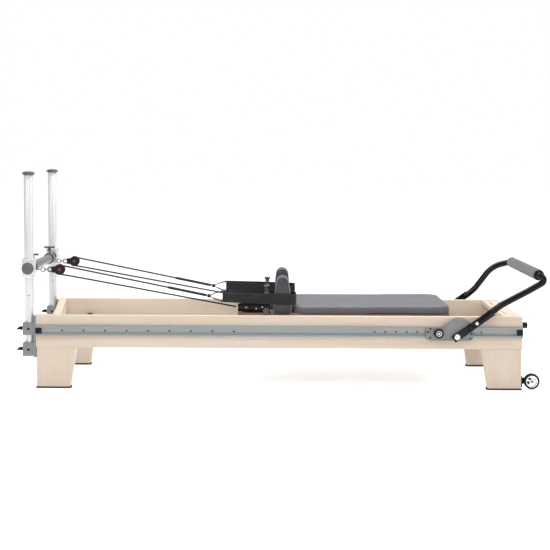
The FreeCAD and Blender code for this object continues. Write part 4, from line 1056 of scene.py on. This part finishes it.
def t_handle(form, axis, centre, root, tip, across, length):
    """A stem with a waisted boss and a moulded cross handle with swollen ends."""
    way = 1 if tip > root else -1
    reach = abs(tip - root)
    shape = [
        (0.0, 0.0),
        (0.0, 0.0048),
        (0.45, 0.0048),
        (0.45, 0.0098),
        (0.55, 0.0104),
        (0.80, 0.0076),
        (0.95, 0.0070),
        (0.95, 0.0),
    ]
    form.lathe(axis, centre, [(root + way * reach * t, wide) for t, wide in shape], 24)
    middle_of_bar = turned(axis, centre, tip, 0.0, 0.0)
    points = []
    radii = []
    for k in range(25):
        t = -1 + k / 12
        points.append(middle_of_bar + across * t * (length / 2 - 0.001))
        fullness = 0.78 + 0.22 * abs(t) ** 1.5 + 0.25 * math.exp(-(t * 5) ** 2)
        round_off = math.sqrt(max(0.0, 1 - max(0.0, (abs(t) - 0.86) / 0.14) ** 2))
        radii.append(max(1e-4, HANDLE_RADIUS * fullness * round_off))
    form.tube(points, radii, 16)


def make_wing_screw(name, level):
    node = f"wing_screw_{name}_{level}"
    low, high = corners(node)
    centre = (low + high) / 2
    form = Form()
    t_handle(form, "x", centre, high.x, low.x + HANDLE_INSET, Vector((0, 1, 0)), high.y - low.y)
    form.piece(node + "_grip", BLACK_PLASTIC, node + "_body", "dark_plastic", (node,), 50)


# ---- crossbar

CLAMP_FACE = 0.3305
CLAMP_INNER = 0.2665
CLAMP_SCREW_X = 0.022
CLAMP_SCREW_Z = 0.036
HANGER_HALF = 0.0235


def make_crossbar():
    eased("cross_tube", CROSS_METAL, 0.0005, 1)
    eased("crossbar_clamps", CLAMP_METAL, 0.002, 3, 50)
    eased("pulley_hangers", CROSS_METAL, 0.0008, 1, 50)
    eased("pulley_housings", BLACK_PLASTIC, 0.0014, 2, 50)
    tube = middle("cross_tube")
    axle = (tube.x, 0, tube.z)
    dome = [(0.0, 0.0), (0.0, 0.0285), (0.002, 0.0300), (0.0042, 0.0296), (0.0046, 0.0268), (0.0052, 0.0262)]
    for k in range(1, 8):
        t = k / 7
        dome.append((0.0052 + 0.0046 * math.sin(t * math.pi / 2), 0.0262 * (1 - t)))
    collar = [(-0.0025, 0.0), (-0.0025, 0.0262), (0, 0.0275), (0.0025, 0.0262), (0.0025, 0.0)]
    for name, side in SIDES.items():
        cap = Form().lathe("y", axle, [(side * CLAMP_FACE + side * out, r) for out, r in dome], 56)
        cap.piece(f"crossbar_cap_{name}", GREY_PLASTIC, "crossbar", "grey_plastic", ("crossbar_caps",))
        rings = Form()
        for place in (CLAMP_INNER, ROPE_PLANE + HANGER_HALF, ROPE_PLANE - HANGER_HALF):
            rings.lathe("y", axle, [(side * place + y, r) for y, r in collar], 40)
        rings.piece(f"crossbar_rings_{name}", BLACK_PLASTIC, "crossbar", "dark_plastic")
        screws = Form()
        for z in (tube.z - CLAMP_SCREW_Z, tube.z + CLAMP_SCREW_Z):
            hex_screw(screws, "y", (tube.x + CLAMP_SCREW_X, 0, z), side * CLAMP_FACE, side, 0.0034, 0.0014)
        screws.piece(f"clamp_screws_{name}", STEEL, "crossbar", "steel")
        node = f"crossbar_screw_{name}"
        low, high = corners(node)
        form = Form()
        centre = (low + high) / 2
        t_handle(form, "z", centre, low.z, high.z - HANDLE_INSET, Vector((1, 0, 0)), high.x - low.x)
        form.piece(node + "_grip", DARK_GREY_PLASTIC, node + "_body", "dark_plastic", (node,), 50)
        make_pulley(name)


def make_pulley(name):
    node = f"pulley_{name}"
    centre = middle(node)
    half = 0.0065
    profile = [
        (-half, 0.0052),
        (-half, 0.0105),
        (-half * 0.7, 0.0112),
        (-half * 0.7, 0.0195),
        (-half, 0.0205),
        (-half, 0.0238),
        (-half * 0.86, 0.0245),
    ]
    groove = []
    for k in range(9):
        t = math.radians(180 * k / 8)
        groove.append((-0.0045 * math.cos(t), 0.0236 - 0.0055 * math.sin(t)))
    rim = profile + groove + [(-y, r) for y, r in reversed(profile)]
    wheel = Form().hoop("y", centre, [(centre.y + place, radius) for place, radius in rim], 48)
    wheel.piece(node + "_wheel", HUB_RED, node + "_body", "grey_plastic", (node,))
    pin = Form()
    for out in (-1, 1):
        hex_screw(pin, "y", centre, centre.y + out * 0.0105, out, 0.0085, 0.0016)
    pin.piece(f"pulley_pin_heads_{name}", PIN_RED, "crossbar", "steel")


# ---- cushions

TUCK = 0.0012
PAD_CORNER = 0.062
HEADREST_CORNER = 0.040
CUSHION_EDGE = 0.010
FILLING_FRAMES = 14


def rounded_outline(low, high, corner, inset, across=12, along=26):
    """Points round a rectangle with rounded corners, drawn in by inset."""
    x0, y0 = low[0] + inset, low[1] + inset
    x1, y1 = high[0] - inset, high[1] - inset
    r = max(min(corner - inset, (y1 - y0) / 2 - ON_AXIS, (x1 - x0) / 2 - ON_AXIS), ON_AXIS)
    centres = [(x1 - r, y1 - r, 0), (x0 + r, y1 - r, 90), (x0 + r, y0 + r, 180), (x1 - r, y0 + r, 270)]
    points = []
    for k, (cx, cy, start) in enumerate(centres):
        for step in range(13):
            angle = math.radians(start + 90 * step / 12)
            points.append((cx + r * math.cos(angle), cy + r * math.sin(angle)))
        nx, ny, begin = centres[(k + 1) % 4]
        turn = math.radians(begin)
        here = points[-1]
        there = (nx + r * math.cos(turn), ny + r * math.sin(turn))
        count = along if k % 2 == 0 else across
        for step in range(1, count):
            points.append(tuple(a + (b - a) * (step / count) for a, b in zip(here, there)))
    return points


def outline_ring(low, high, corner, inset, z):
    """A rounded outline at one height."""
    return [Vector((x, y, z)) for x, y in rounded_outline(low, high, corner, inset)]


def cushion_form(low, high, corner, crown, bulge, seam):
    """An upholstered slab, tucked in below: a swollen side, a seam, a round edge and a crowned top."""
    edge = CUSHION_EDGE
    thick = high[2] - low[2]
    half = (high[1] - low[1]) / 2
    levels = [(0.0, 0.012), (0.0, 0.004), (0.03, 0.0018)]
    for k in range(1, 9):
        t = k / 9
        pinch = math.exp(-(((t - seam) * 9) ** 2)) * 0.0016
        levels.append((t * (thick - edge) / thick, TUCK - bulge * math.sin(math.pi * t) + pinch))
    for k in range(9):
        t = math.radians(90 * k / 8)
        rise = 1 - edge / thick + edge / thick * math.sin(t) * 0.93
        levels.append((rise, TUCK + edge * (1 - math.cos(t))))
    rings = [outline_ring(low, high, corner, inset, low[2] + rise * thick) for rise, inset in levels]
    top = low[2] + (1 - edge / thick + edge / thick * 0.93) * thick
    steps = 14
    for k in range(1, steps + 1):
        t = k / steps
        inset = TUCK + edge + (half - edge - 0.0022) * t
        rings.append(outline_ring(low, high, corner, inset, top + crown * (1 - (1 - t) ** 2.2)))
    for ring in rings:
        for point in ring:
            wave = noise.noise(point * 9.0) * 0.0006
            if point.z > low[2] + 0.2 * thick:
                point.z += wave
    return rings


def swell(obj, pressure, cap):
    """Lets the cushion's cover fill like real padding, moving no point further than cap."""
    before = [v.co.copy() for v in obj.data.vertices]
    cloth = obj.modifiers.new("Filling", "CLOTH")
    cloth.settings.quality = 5
    cloth.settings.use_pressure = True
    cloth.settings.uniform_pressure_force = pressure
    cloth.settings.effector_weights.gravity = 0.0
    cloth.settings.tension_stiffness = 40.0
    cloth.settings.compression_stiffness = 40.0
    cloth.settings.bending_stiffness = 5.0
    scene = bpy.context.scene
    for number in range(1, FILLING_FRAMES + 1):
        scene.frame_set(number)
    graph = bpy.context.evaluated_depsgraph_get()
    mesh = obj.evaluated_get(graph).to_mesh()
    after = [v.co.copy() for v in mesh.vertices]
    obj.evaluated_get(graph).to_mesh_clear()
    obj.modifiers.clear()
    scene.frame_set(1)
    for vert, start, end in zip(obj.data.vertices, before, after):
        move = end - start
        if move.length > cap:
            move *= cap / move.length
        vert.co = start + move
    obj.data.update()


def make_welt(name, corner, low, high, body, node, radius, sides, share):
    """A raised seam round the side of a cushion."""
    line = outline_ring(low, high, corner, TUCK, low.z + share * (high.z - low.z))
    welt = Form().tube(line, radius, sides, loop=True)
    welt.piece(name, PAD_VINYL, body, "vinyl", (node,), 60)


def make_pad():
    low, high = corners("carriage_pad")
    rings = cushion_form(low, high, PAD_CORNER, 0.0022, 0.0022, 0.52)
    pad = Form().rings(rings)
    pad = pad.piece("carriage_pad_cover", PAD_VINYL, "carriage", "vinyl", ("carriage_pad",), 60)
    swell(pad, 1.2, 0.0016)
    make_welt("carriage_pad_welt", PAD_CORNER, low, high, "carriage", "carriage_pad", 0.0021, 10, 0.50)
    hem = Form().tube(outline_ring(low, high, PAD_CORNER, 0.0035, low.z + 0.0012), 0.0012, 8, loop=True)
    hem.piece("carriage_pad_hem", BLACK_RUBBER, "carriage", "vinyl", ("carriage_pad",), 60)


def make_headrest():
    low, high = corners("headrest")
    rings = cushion_form(low, high, HEADREST_CORNER, 0.0030, 0.0020, 0.5)
    pad = Form().rings(rings)
    pad = pad.piece("headrest_cover", PAD_VINYL, "headrest_tray", "vinyl", ("headrest",), 60)
    swell(pad, 1.2, 0.0016)
    make_welt("headrest_welt", HEADREST_CORNER, low, high, "headrest_tray", "headrest", 0.0018, 8, 0.5)
    eased("headrest_board", PLYWOOD, 0.0008, 2)


REST_NEAR = 0.137
REST_FAR = 0.247
REST_ARCH = 0.033
REST_EDGE = 0.012
PIPING_INSET = 0.0075


def arch_outline(low, high, inset, steps=10, count=20):
    """The shoulder rest seen from the side: a tapered block under a round arch."""
    centre_x = (low[0] + high[0]) / 2
    foot = (high[0] - low[0]) / 2 - inset
    top = high[2] - REST_ARCH
    r = REST_ARCH - inset
    lean = math.atan2(foot - r, top - low[2])
    flank = []
    for k in range(steps):
        t = k / steps
        bow = 0.0022 * math.sin(math.pi * t)
        out = foot + (r * math.cos(lean) - foot) * t + bow
        flank.append((out, low[2] + (top - low[2] + r * math.sin(lean)) * t))
    points = [(centre_x + out, z) for out, z in flank]
    for k in range(count + 1):
        angle = lean + (math.pi - 2 * lean) * k / count
        points.append((centre_x + r * math.cos(angle), top + r * math.sin(angle)))
    return points + [(centre_x - out, z) for out, z in reversed(flank)]


def make_shoulder_rest(name, side):
    """A padded block with a crowned face on each side and piping round both faces; the piping is drawn
    lighter than the block, a painted highlight along the arch edges.
    """
    low, high = corners("shoulder_rests")
    y0, y1 = sorted((side * REST_NEAR, side * REST_FAR))
    wide = y1 - y0
    crowned = []
    for k in range(6):
        t = k / 6
        crowned.append((TUCK + 0.0055 * t ** 2, 0.034 - 0.025 * t))
    for k in range(8):
        t = math.radians(90 * k / 7)
        crowned.append((0.0067 + REST_EDGE * (1 - math.cos(t)) * 0.5, 0.009 * (1 - math.sin(t)) + 0.0006))
    levels = [(y0 + depth, inset) for depth, inset in crowned]
    for t in (0.16, 0.26, 0.38, 0.5, 0.62, 0.74, 0.84):
        levels.append((y0 + wide * t, 0.0006 - 0.0018 * math.sin(math.pi * t)))
    levels += [(y1 - depth, inset) for depth, inset in reversed(crowned)]

    def outline(y, inset):
        return [Vector((x, y, z)) for x, z in arch_outline(low, high, inset)]

    cover = Form().rings([outline(y, inset) for y, inset in levels])
    cover = cover.piece(f"shoulder_rest_{name}", REST_VINYL, "carriage", "vinyl", ("shoulder_rests",), 60)
    swell(cover, 0.8, 0.0014)
    welts = Form()
    for y in (y0 + PIPING_INSET, y1 - PIPING_INSET):
        welts.tube(resampled(outline(y, 0.0030), 0.006), 0.0023, 10)
    # The piping's lighter vinyl is painted highlight along the arch edges.
    welts.piece(f"shoulder_rest_piping_{name}", PAINTED_HIGHLIGHT_VINYL, "carriage", "vinyl", ("shoulder_rests",), 60)


# ---- carriage hardware

POST_RADIUS = 0.016
POST_FOOT = [(0.0, 0.0), (0.0, 0.0155), (0.0035, 0.0155), (0.0045, 0.0115)]
# The rest of the post: how far each level lies below the top, and its radius.
POST_SPOOL = [
    (0.051, 0.0112),
    (0.0485, 0.0145),
    (0.0465, 0.0160),
    (0.0435, 0.0160),
    (0.0415, 0.0140),
    (0.037, 0.0098),
    (0.025, 0.0086),
    (0.013, 0.0098),
    (0.0085, 0.0140),
    (0.0065, 0.0158),
    (0.0025, 0.0160),
    (0.0002, 0.0142),
    (0.0, 0.0),
]
ARM_KNOB = [
    (0.0, 0.0),
    (0.0, 0.010),
    (0.15, 0.0105),
    (0.18, 0.0148, 1),
    (0.25, 0.0160, 1),
    (0.85, 0.0160, 1),
    (0.95, 0.0145, 1),
    (0.96, 0.0110),
    (0.90, 0.0100),
    (0.90, 0.0),
]
NOZZLE_SHAPE = [
    (-0.2150, 0.0048),
    (-0.2148, 0.0062),
    (-0.2130, 0.0068),
    (-0.2100, 0.0066),
    (-0.2082, 0.0082),
    (-0.2060, 0.0082),
    (-0.2060, 0.0048),
]
ARM_FACE = 0.224
ARM_BOLTS = ((-0.165, 0.391), (-0.115, 0.386), (-0.085, 0.393))
ROLLER_WIDE = 0.024
ROLLER_SHAPE = [
    (0.0, 0.0051),
    (0.0, 0.0085),
    (0.08, 0.0090),
    (0.10, 0.0140),
    (0.02, 0.0150),
    (0.02, 0.0172),
    (0.08, 0.0180),
]
SPRING_PITCH = 0.088
SPRING_TURNS = 96
SPRING_WIRE = 0.0016
SPRING_RADIUS = 0.0114
SPRING_COLOURS = [(0.40, 0.02, 0.02), (0.02, 0.05, 0.30), (0.40, 0.02, 0.02), (0.45, 0.33, 0.02)]
BUMPER_PLACE = (0.262, 0.314)


def outward(node, side):
    """The inner and the outer end of a node that points away from the middle of the frame."""
    low, high = corners(node)
    return (low.y, high.y) if side > 0 else (high.y, low.y)


def stretched(shape, inner, outer):
    """A profile given in shares of a length, laid between two places."""
    return [(inner + (outer - inner) * t, *rest) for t, *rest in shape]


def make_strap_post(name, side):
    """A turned post: a foot washer, a stout lower part, and a spool at its top."""
    low, high = corners("strap_posts")
    centre = ((low.x + high.x) / 2, side * (high.y - POST_RADIUS), 0)
    profile = [(low.z + rise, r) for rise, r in POST_FOOT] + [(high.z - drop, r) for drop, r in POST_SPOOL]
    post = Form().lathe("z", centre, profile, 40)
    post.piece(f"strap_post_{name}", GREY_PLASTIC, "carriage", "grey_paint", ("strap_posts",), 32)


def make_arm_knob(name, side):
    node = f"arm_knob_{name}"
    knob = Form().lathe("y", middle(node), stretched(ARM_KNOB, *outward(node, side)), 96, 24, 0.0011)
    knob.piece(node + "_knurled", GREY_PLASTIC, node + "_body", "grey_plastic", (node,), 50)


def make_rope_arms():
    eased("rope_arms", BLACK_PAINT, 0.0028, 3, 50)
    for name, side in SIDES.items():
        nozzle = Form().hoop("x", (0, side * ROPE_PLANE, NOZZLE.z), NOZZLE_SHAPE, 32)
        nozzle.piece(f"rope_nozzle_{name}", BRIGHT_STEEL, "carriage", "steel", ("rope_arms",))
        bolts = Form()
        for x, z in ARM_BOLTS:
            hex_screw(bolts, "y", (x, 0, z), side * ARM_FACE, side, 0.0052, 0.0022)
        bolts.piece(f"rope_arm_bolts_{name}", STEEL, "carriage", "steel")


def make_rollers():
    for end in ("head", "foot"):
        node = f"rollers_{end}"
        high = corners(node)[1]
        for name, side in SIDES.items():
            inner, outer = side * (high.y - ROLLER_WIDE), side * high.y
            rim = stretched(ROLLER_SHAPE, inner, outer) + stretched(ROLLER_SHAPE[::-1], outer, inner)
            wheel = Form().hoop("y", middle(node), rim, 40)
            wheel.piece(f"roller_{end}_{name}", DARK_GREY_PLASTIC, node + "_body", "dark_plastic", (node,))


def make_springs():
    """Wound extension springs with a hook loop at each end, stretched between carriage and frame."""
    low, high = corners("springs")
    z = (low.z + high.z) / 2
    start, end = low.x + 0.016, high.x - 0.016
    count = SPRING_TURNS * 12
    for k, colour in enumerate(SPRING_COLOURS):
        y = (k - 1.5) * SPRING_PITCH
        points = [Vector((low.x + 0.0005, y, z + 0.004)), Vector((low.x + 0.008, y, z + 0.009))]
        for step in range(count + 1):
            t = step / count
            angle = math.pi / 2 + 2 * math.pi * SPRING_TURNS * t
            points.append(turned("x", (0, y, z), start + (end - start) * t, SPRING_RADIUS, angle))
        points += [Vector((high.x - 0.008, y, z + 0.009)), Vector((high.x - 0.0005, y, z + 0.004))]
        spring = Form().tube(points, SPRING_WIRE, 6)
        spring = spring.piece(f"spring_{k}", STEEL, None, "steel", ("springs",), 60)
        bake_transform(spring)
        collar = Form()
        for x in (high.x - 0.030, high.x - 0.018):
            band = [(x, 0.0), (x, 0.0128), (x + 0.009, 0.0128), (x + 0.009, 0.0)]
            collar.lathe("x", (0, y, z), band, 24)
        paint = moulded(f"SpringMark{k}", colour)
        collar.piece(f"spring_mark_{k}", paint, "frame", "steel", ("springs",))


def make_bumper_rings():
    """A bright ring and a screw in the end face of each end bumper."""
    face = corners("rubber_stops")[1].x - 0.0004
    ring = [(face, 0.0065), (face, 0.0105), (face + 0.0008, 0.0102), (face + 0.0008, 0.0068)]
    form = Form()
    for side in SIDES.values():
        centre = (0, side * BUMPER_PLACE[0], BUMPER_PLACE[1])
        form.hoop("x", centre, ring, 36)
        hex_screw(form, "x", centre, face - 0.001, 1, 0.0045, 0.0016)
    form.piece("bumper_screws", STEEL, "frame", "steel")


def make_carriage():
    make_pad()
    make_headrest()
    eased("carriage_base", PLYWOOD, 0.0015, 2)
    eased("carriage_brackets", STEEL, 0.0008, 1, 50)
    make_rope_arms()
    for name, side in SIDES.items():
        make_shoulder_rest(name, side)
        make_strap_post(name, side)
        make_arm_knob(name, side)
    make_rollers()
    make_springs()
    eased("rubber_stops", BLACK_RUBBER, 0.002, 3, 50)
    make_bumper_rings()


# ---- footbar

TRACK_KNOB_DEEP = 0.036
TRACK_KNOB = [
    (0, 0.0058),
    (0, 0.014),
    (0.16, 0.0150),
    (0.20, 0.0235, 1),
    (0.28, 0.0250, 1),
    (0.80, 0.0250, 1),
    (0.93, 0.0232, 1),
    (0.97, 0.0205),
    (0.94, 0.0165),
    (0.94, 0.0),
]
TRACK_KNOB_RING = [(0.90, 0.0100), (0.90, 0.0140), (0.97, 0.0135), (0.97, 0.0105)]
TRACK_KNOB_DISC = [(0.92, 0.0), (0.92, 0.0056), (0.99, 0.0052), (1.0, 0.0036), (0.98, 0.0)]
PIN_SLEEVE = [
    (0, 0.0),
    (0, 0.0049),
    (0.34, 0.0049),
    (0.34, 0.0070),
    (0.66, 0.0070),
    (0.68, 0.0050),
    (0.70, 0.0050),
    (0.70, 0.0),
]
PIN_GRIP = [
    (0.69, 0.0),
    (0.69, 0.0085, 1),
    (0.73, 0.0100, 1),
    (0.92, 0.0100, 1),
    (0.99, 0.0080, 1),
    (1.0, 0.0060),
    (1.0, 0.0),
]
PIVOT_HEAD = 0.014
PIVOT_SHANK = 0.008
PIVOT_PLAY = 0.0003
CHAMFER = 0.0008
ARM_OUTSIDE = 0.366
FOAM_BORE = 0.0163
FOAM_EDGE = [(0.0, 0.0235), (0.0012, 0.0262), (0.0045, 0.0274)]


def make_track_knob(name, side):
    """A large fluted knob with a bright centre."""
    node = f"track_knob_{name}"
    centre = middle(node)
    shaft, outer = outward(node, side)
    inner = outer - side * TRACK_KNOB_DEEP
    profile = [(shaft, 0.0), (shaft, 0.0058)] + stretched(TRACK_KNOB, inner, outer)
    knob = Form().lathe("y", centre, profile, 120, 12, 0.0022)
    knob.piece(node + "_grip", BLACK_PLASTIC, node + "_body", "dark_plastic", (node,), 50)
    cap = Form().hoop("y", centre, stretched(TRACK_KNOB_RING, inner, outer), 40)
    cap.lathe("y", centre, stretched(TRACK_KNOB_DISC, inner, outer), 40)
    cap.piece(node + "_cap", BRIGHT_STEEL, node + "_body", "steel", (node,))


def make_index_pin(name, side):
    """A spring pin: a bright sleeve and a fluted grip."""
    node = f"index_pin_{name}"
    centre = middle(node)
    ends = outward(node, side)
    sleeve = Form().lathe("y", centre, stretched(PIN_SLEEVE, *ends), 32)
    sleeve.piece(node + "_sleeve", BRIGHT_STEEL, node + "_body", "steel", (node,))
    knob = Form().lathe("y", centre, stretched(PIN_GRIP, *ends), 72, 12, 0.0010)
    knob.piece(node + "_grip", BLACK_PLASTIC, node + "_body", "dark_plastic", (node,), 50)


def make_footbar_bolts():
    """Pivot bolts with their spacers and heads, and the short bolt through each arm."""
    low, high = corners("footbar_bolts")
    pivot = (low.x + PIVOT_HEAD, 0, low.z + PIVOT_HEAD)
    arm_bolt = (high.x - PIVOT_SHANK, 0, high.z - PIVOT_SHANK)
    shank = PIVOT_SHANK - PIVOT_PLAY
    long_bolt = [
        (0.3474, 0),
        (0.3474, shank),
        (0.3534, shank),
        (0.3534, PIVOT_HEAD),
        (0.358, PIVOT_HEAD),
        (0.358, shank),
        (ARM_OUTSIDE, shank),
        (ARM_OUTSIDE, PIVOT_HEAD),
        (0.368, PIVOT_HEAD),
        (0.369, PIVOT_HEAD - 0.001),
        (0.369, PIVOT_SHANK),
        (0.3742, PIVOT_SHANK),
        (high.y, PIVOT_SHANK - CHAMFER),
        (high.y, 0),
    ]
    short_bolt = [
        (ARM_OUTSIDE, 0),
        (ARM_OUTSIDE, PIVOT_SHANK),
        (0.3702, PIVOT_SHANK),
        (0.371, PIVOT_SHANK - CHAMFER),
        (0.371, 0),
    ]
    bolts = Form()
    for side in SIDES.values():
        for centre, profile in ((pivot, long_bolt), (arm_bolt, short_bolt)):
            bolts.lathe("y", centre, [(y * side, radius) for y, radius in profile], 48)
    bolts.piece("footbar_bolts_turned", BRIGHT_STEEL, "footbar", "steel", ("footbar_bolts",))


def make_grip():
    """The foam sleeve on the crossways part of the footbar, a little uneven along its length."""
    low, high = corners("grip_foam")
    profile = [(low.y, FOAM_BORE)] + [(low.y + place, r) for place, r in FOAM_EDGE]
    for k in range(1, 24):
        profile.append((low.y + (high.y - low.y) * k / 24, 0.02735 + 0.00025 * math.sin(k * 2.3)))
    profile += [(high.y - place, r) for place, r in reversed(FOAM_EDGE)] + [(high.y, FOAM_BORE)]
    grip = Form().hoop("y", middle("grip_foam"), profile, 56)
    grip = grip.piece("grip_foam_sleeve", FOAM, "footbar", "foam", ("grip_foam",), 50)


def make_footbar():
    eased("sector_plates", PLATE_PAINT, 0.0009, 2)
    eased("slide_shoes", BLACK_PLASTIC, 0.0012, 2)
    make_screws("sector_screws", BLACK_PLASTIC, "footbar_slider")
    eased("footbar_arms", BLACK_PAINT, 0.0012, 2)
    dress("footbar_tube", BLACK_PAINT)
    make_footbar_bolts()
    eased("grip_rings", BLACK_RUBBER, 0.0008, 2)
    make_grip()
    for name, side in SIDES.items():
        make_track_knob(name, side)
        make_index_pin(name, side)


# ---- transport wheels

WHEEL_RADIUS = 0.0390
TREAD_EDGE = [(1.0, 0.0290), (0.98, 0.0345), (0.86, 0.0378), (0.62, WHEEL_RADIUS)]
GROOVES = (-0.42, 0.0, 0.42)
GROOVE_FLOOR = 0.0368
HUB_RIM = [(-0.93, 0.0250), (-0.93, 0.0292), (0.93, 0.0292), (0.93, 0.0250)]
HUB_BOSS = [(-0.98, 0.0052), (-0.98, 0.0110), (0.98, 0.0110), (0.98, 0.0052)]
SPOKES = 5
SPOKE_SHAPE = ((0.0100, 0.0052), (0.0175, 0.0036), (0.0256, 0.0056))
SPOKE_CORNERS = ((-1, -0.7), (1, -0.7), (1, 0.7), (-1, 0.7))


def make_wheel(name, side):
    """A grooved tyre on a bright hub with five windows."""
    node = f"wheel_{name}"
    low, high = corners(node)
    centre = (low + high) / 2
    half = (high.y - low.y) / 2

    def across_wheel(shape):
        return [(centre.y + half * t, r) for t, r in shape]

    tread = [(-t, r) for t, r in TREAD_EDGE]
    for place in GROOVES:
        tread += [(place - 0.10, WHEEL_RADIUS), (place - 0.07, GROOVE_FLOOR)]
        tread += [(place + 0.07, GROOVE_FLOOR), (place + 0.10, WHEEL_RADIUS)]
    tread += TREAD_EDGE[::-1]
    tyre = Form().hoop("y", centre, across_wheel(tread), 64)
    tyre.piece(node + "_tyre", BLACK_RUBBER, node + "_body", "tyre", (node,))
    hub = Form().hoop("y", centre, across_wheel(HUB_RIM), 60)
    hub.hoop("y", centre, across_wheel(HUB_BOSS), 60)
    for k in range(SPOKES):
        angle = 2 * math.pi * k / SPOKES + 0.3
        along = Vector((math.cos(angle), 0, math.sin(angle)))
        across = Vector((-along.z, 0, along.x))
        spoke = []
        for r, width in SPOKE_SHAPE:
            base = centre + along * r
            spoke.append([base + across * width * s + Vector((0, half * t, 0)) for s, t in SPOKE_CORNERS])
        hub.rings(spoke)
    hub.piece(node + "_hub", BRIGHT_STEEL, node + "_body", "tyre", (node,), 40)
    nut = Form()
    hex_screw(nut, "y", centre, centre.y + side * (half + 0.0003), side, 0.0082, 0.0024)
    nut.piece(f"wheel_nut_{name}", STEEL, "frame", "steel")


make_wood()
make_tracks()
make_poles()
make_crossbar()
make_carriage()
make_footbar()
eased("wheel_brackets", BLACK_PAINT, 0.001, 2, 50)
for wheel_name, wheel_side in SIDES.items():
    make_wheel(wheel_name, wheel_side)


# ---- studio

FLOOR_REACH = 30.0
FLOOR_COLOUR = (0.80, 0.80, 0.80)
FLOOR_GLOW = 0.66
AIR_GLOW = 0.5
# Each softbox: its name, place, target, size and power.
SOFTBOXES = (
    ("KeySoftbox", (-1.6, -3.2, 3.4), (0, 0, 0.3), (3.0, 2.0), 62),
    ("TopSoftbox", (0.3, 0.6, 3.6), (0, 0, 0.3), (3.6, 2.4), 125),
    ("FootSoftbox", (4.2, -1.5, 2.2), (0.2, 0, 0.4), (1.6, 2.0), 30),
)


def backdrop_material(colour, own_light):
    """A pale surface that shows white behind the object and keeps the object's shadow."""
    made = bpy.data.materials.new("StudioWhite")
    made.use_nodes = True
    tree = made.node_tree
    tree.nodes.clear()
    out = tree.nodes.new("ShaderNodeOutputMaterial")
    diffuse = tree.nodes.new("ShaderNodeBsdfDiffuse")
    diffuse.inputs["Color"].default_value = (*colour, 1.0)
    glow = tree.nodes.new("ShaderNodeEmission")
    add = tree.nodes.new("ShaderNodeAddShader")
    path = tree.nodes.new("ShaderNodeLightPath")
    seen = math_node(tree, "MAXIMUM", path.outputs["Is Camera Ray"], path.outputs["Is Glossy Ray"])
    seen = math_node(tree, "MAXIMUM", seen, path.outputs["Is Transmission Ray"])
    tree.links.new(math_node(tree, "MULTIPLY", seen, own_light), glow.inputs["Strength"])
    tree.links.new(diffuse.outputs[0], add.inputs[0])
    tree.links.new(glow.outputs[0], add.inputs[1])
    tree.links.new(add.outputs[0], out.inputs["Surface"])
    return made


def area_light(name, place, target, size, power):
    data = bpy.data.lights.new(name, "AREA")
    data.shape = "RECTANGLE"
    data.size, data.size_y = size
    data.energy = power
    light = bpy.data.objects.new(name, data)
    light.location = place
    light.rotation_euler = (Vector(target) - Vector(place)).to_track_quat("-Z", "Y").to_euler()
    bpy.context.scene.collection.objects.link(light)


def make_floor(scene):
    mesh = bpy.data.meshes.new("Floor")
    r = FLOOR_REACH
    mesh.from_pydata([(-r, -r, 0), (r, -r, 0), (r, r, 0), (-r, r, 0)], [], [(0, 1, 2, 3)])
    floor = bpy.data.objects.new("Floor", mesh)
    scene.collection.objects.link(floor)
    mesh.materials.append(backdrop_material(FLOOR_COLOUR, FLOOR_GLOW))


def make_air(scene):
    """White surroundings that light the object half as strongly as the camera sees them."""
    world = bpy.data.worlds.new("StudioAir")
    scene.world = world
    world.use_nodes = True
    tree = world.node_tree
    background = tree.nodes["Background"]
    path = tree.nodes.new("ShaderNodeLightPath")
    seen = math_node(tree, "MAXIMUM", path.outputs["Is Camera Ray"], path.outputs["Is Transmission Ray"])
    lift = math_node(tree, "MULTIPLY", seen, 1 - AIR_GLOW)
    tree.links.new(math_node(tree, "ADD", lift, AIR_GLOW), background.inputs["Strength"])
    background.inputs["Color"].default_value = (1.0, 1.0, 1.0, 1.0)


def make_studio():
    scene = bpy.context.scene
    scene.view_settings.view_transform = "Standard"
    make_floor(scene)
    make_air(scene)
    for softbox in SOFTBOXES:
        area_light(*softbox)


make_studio()
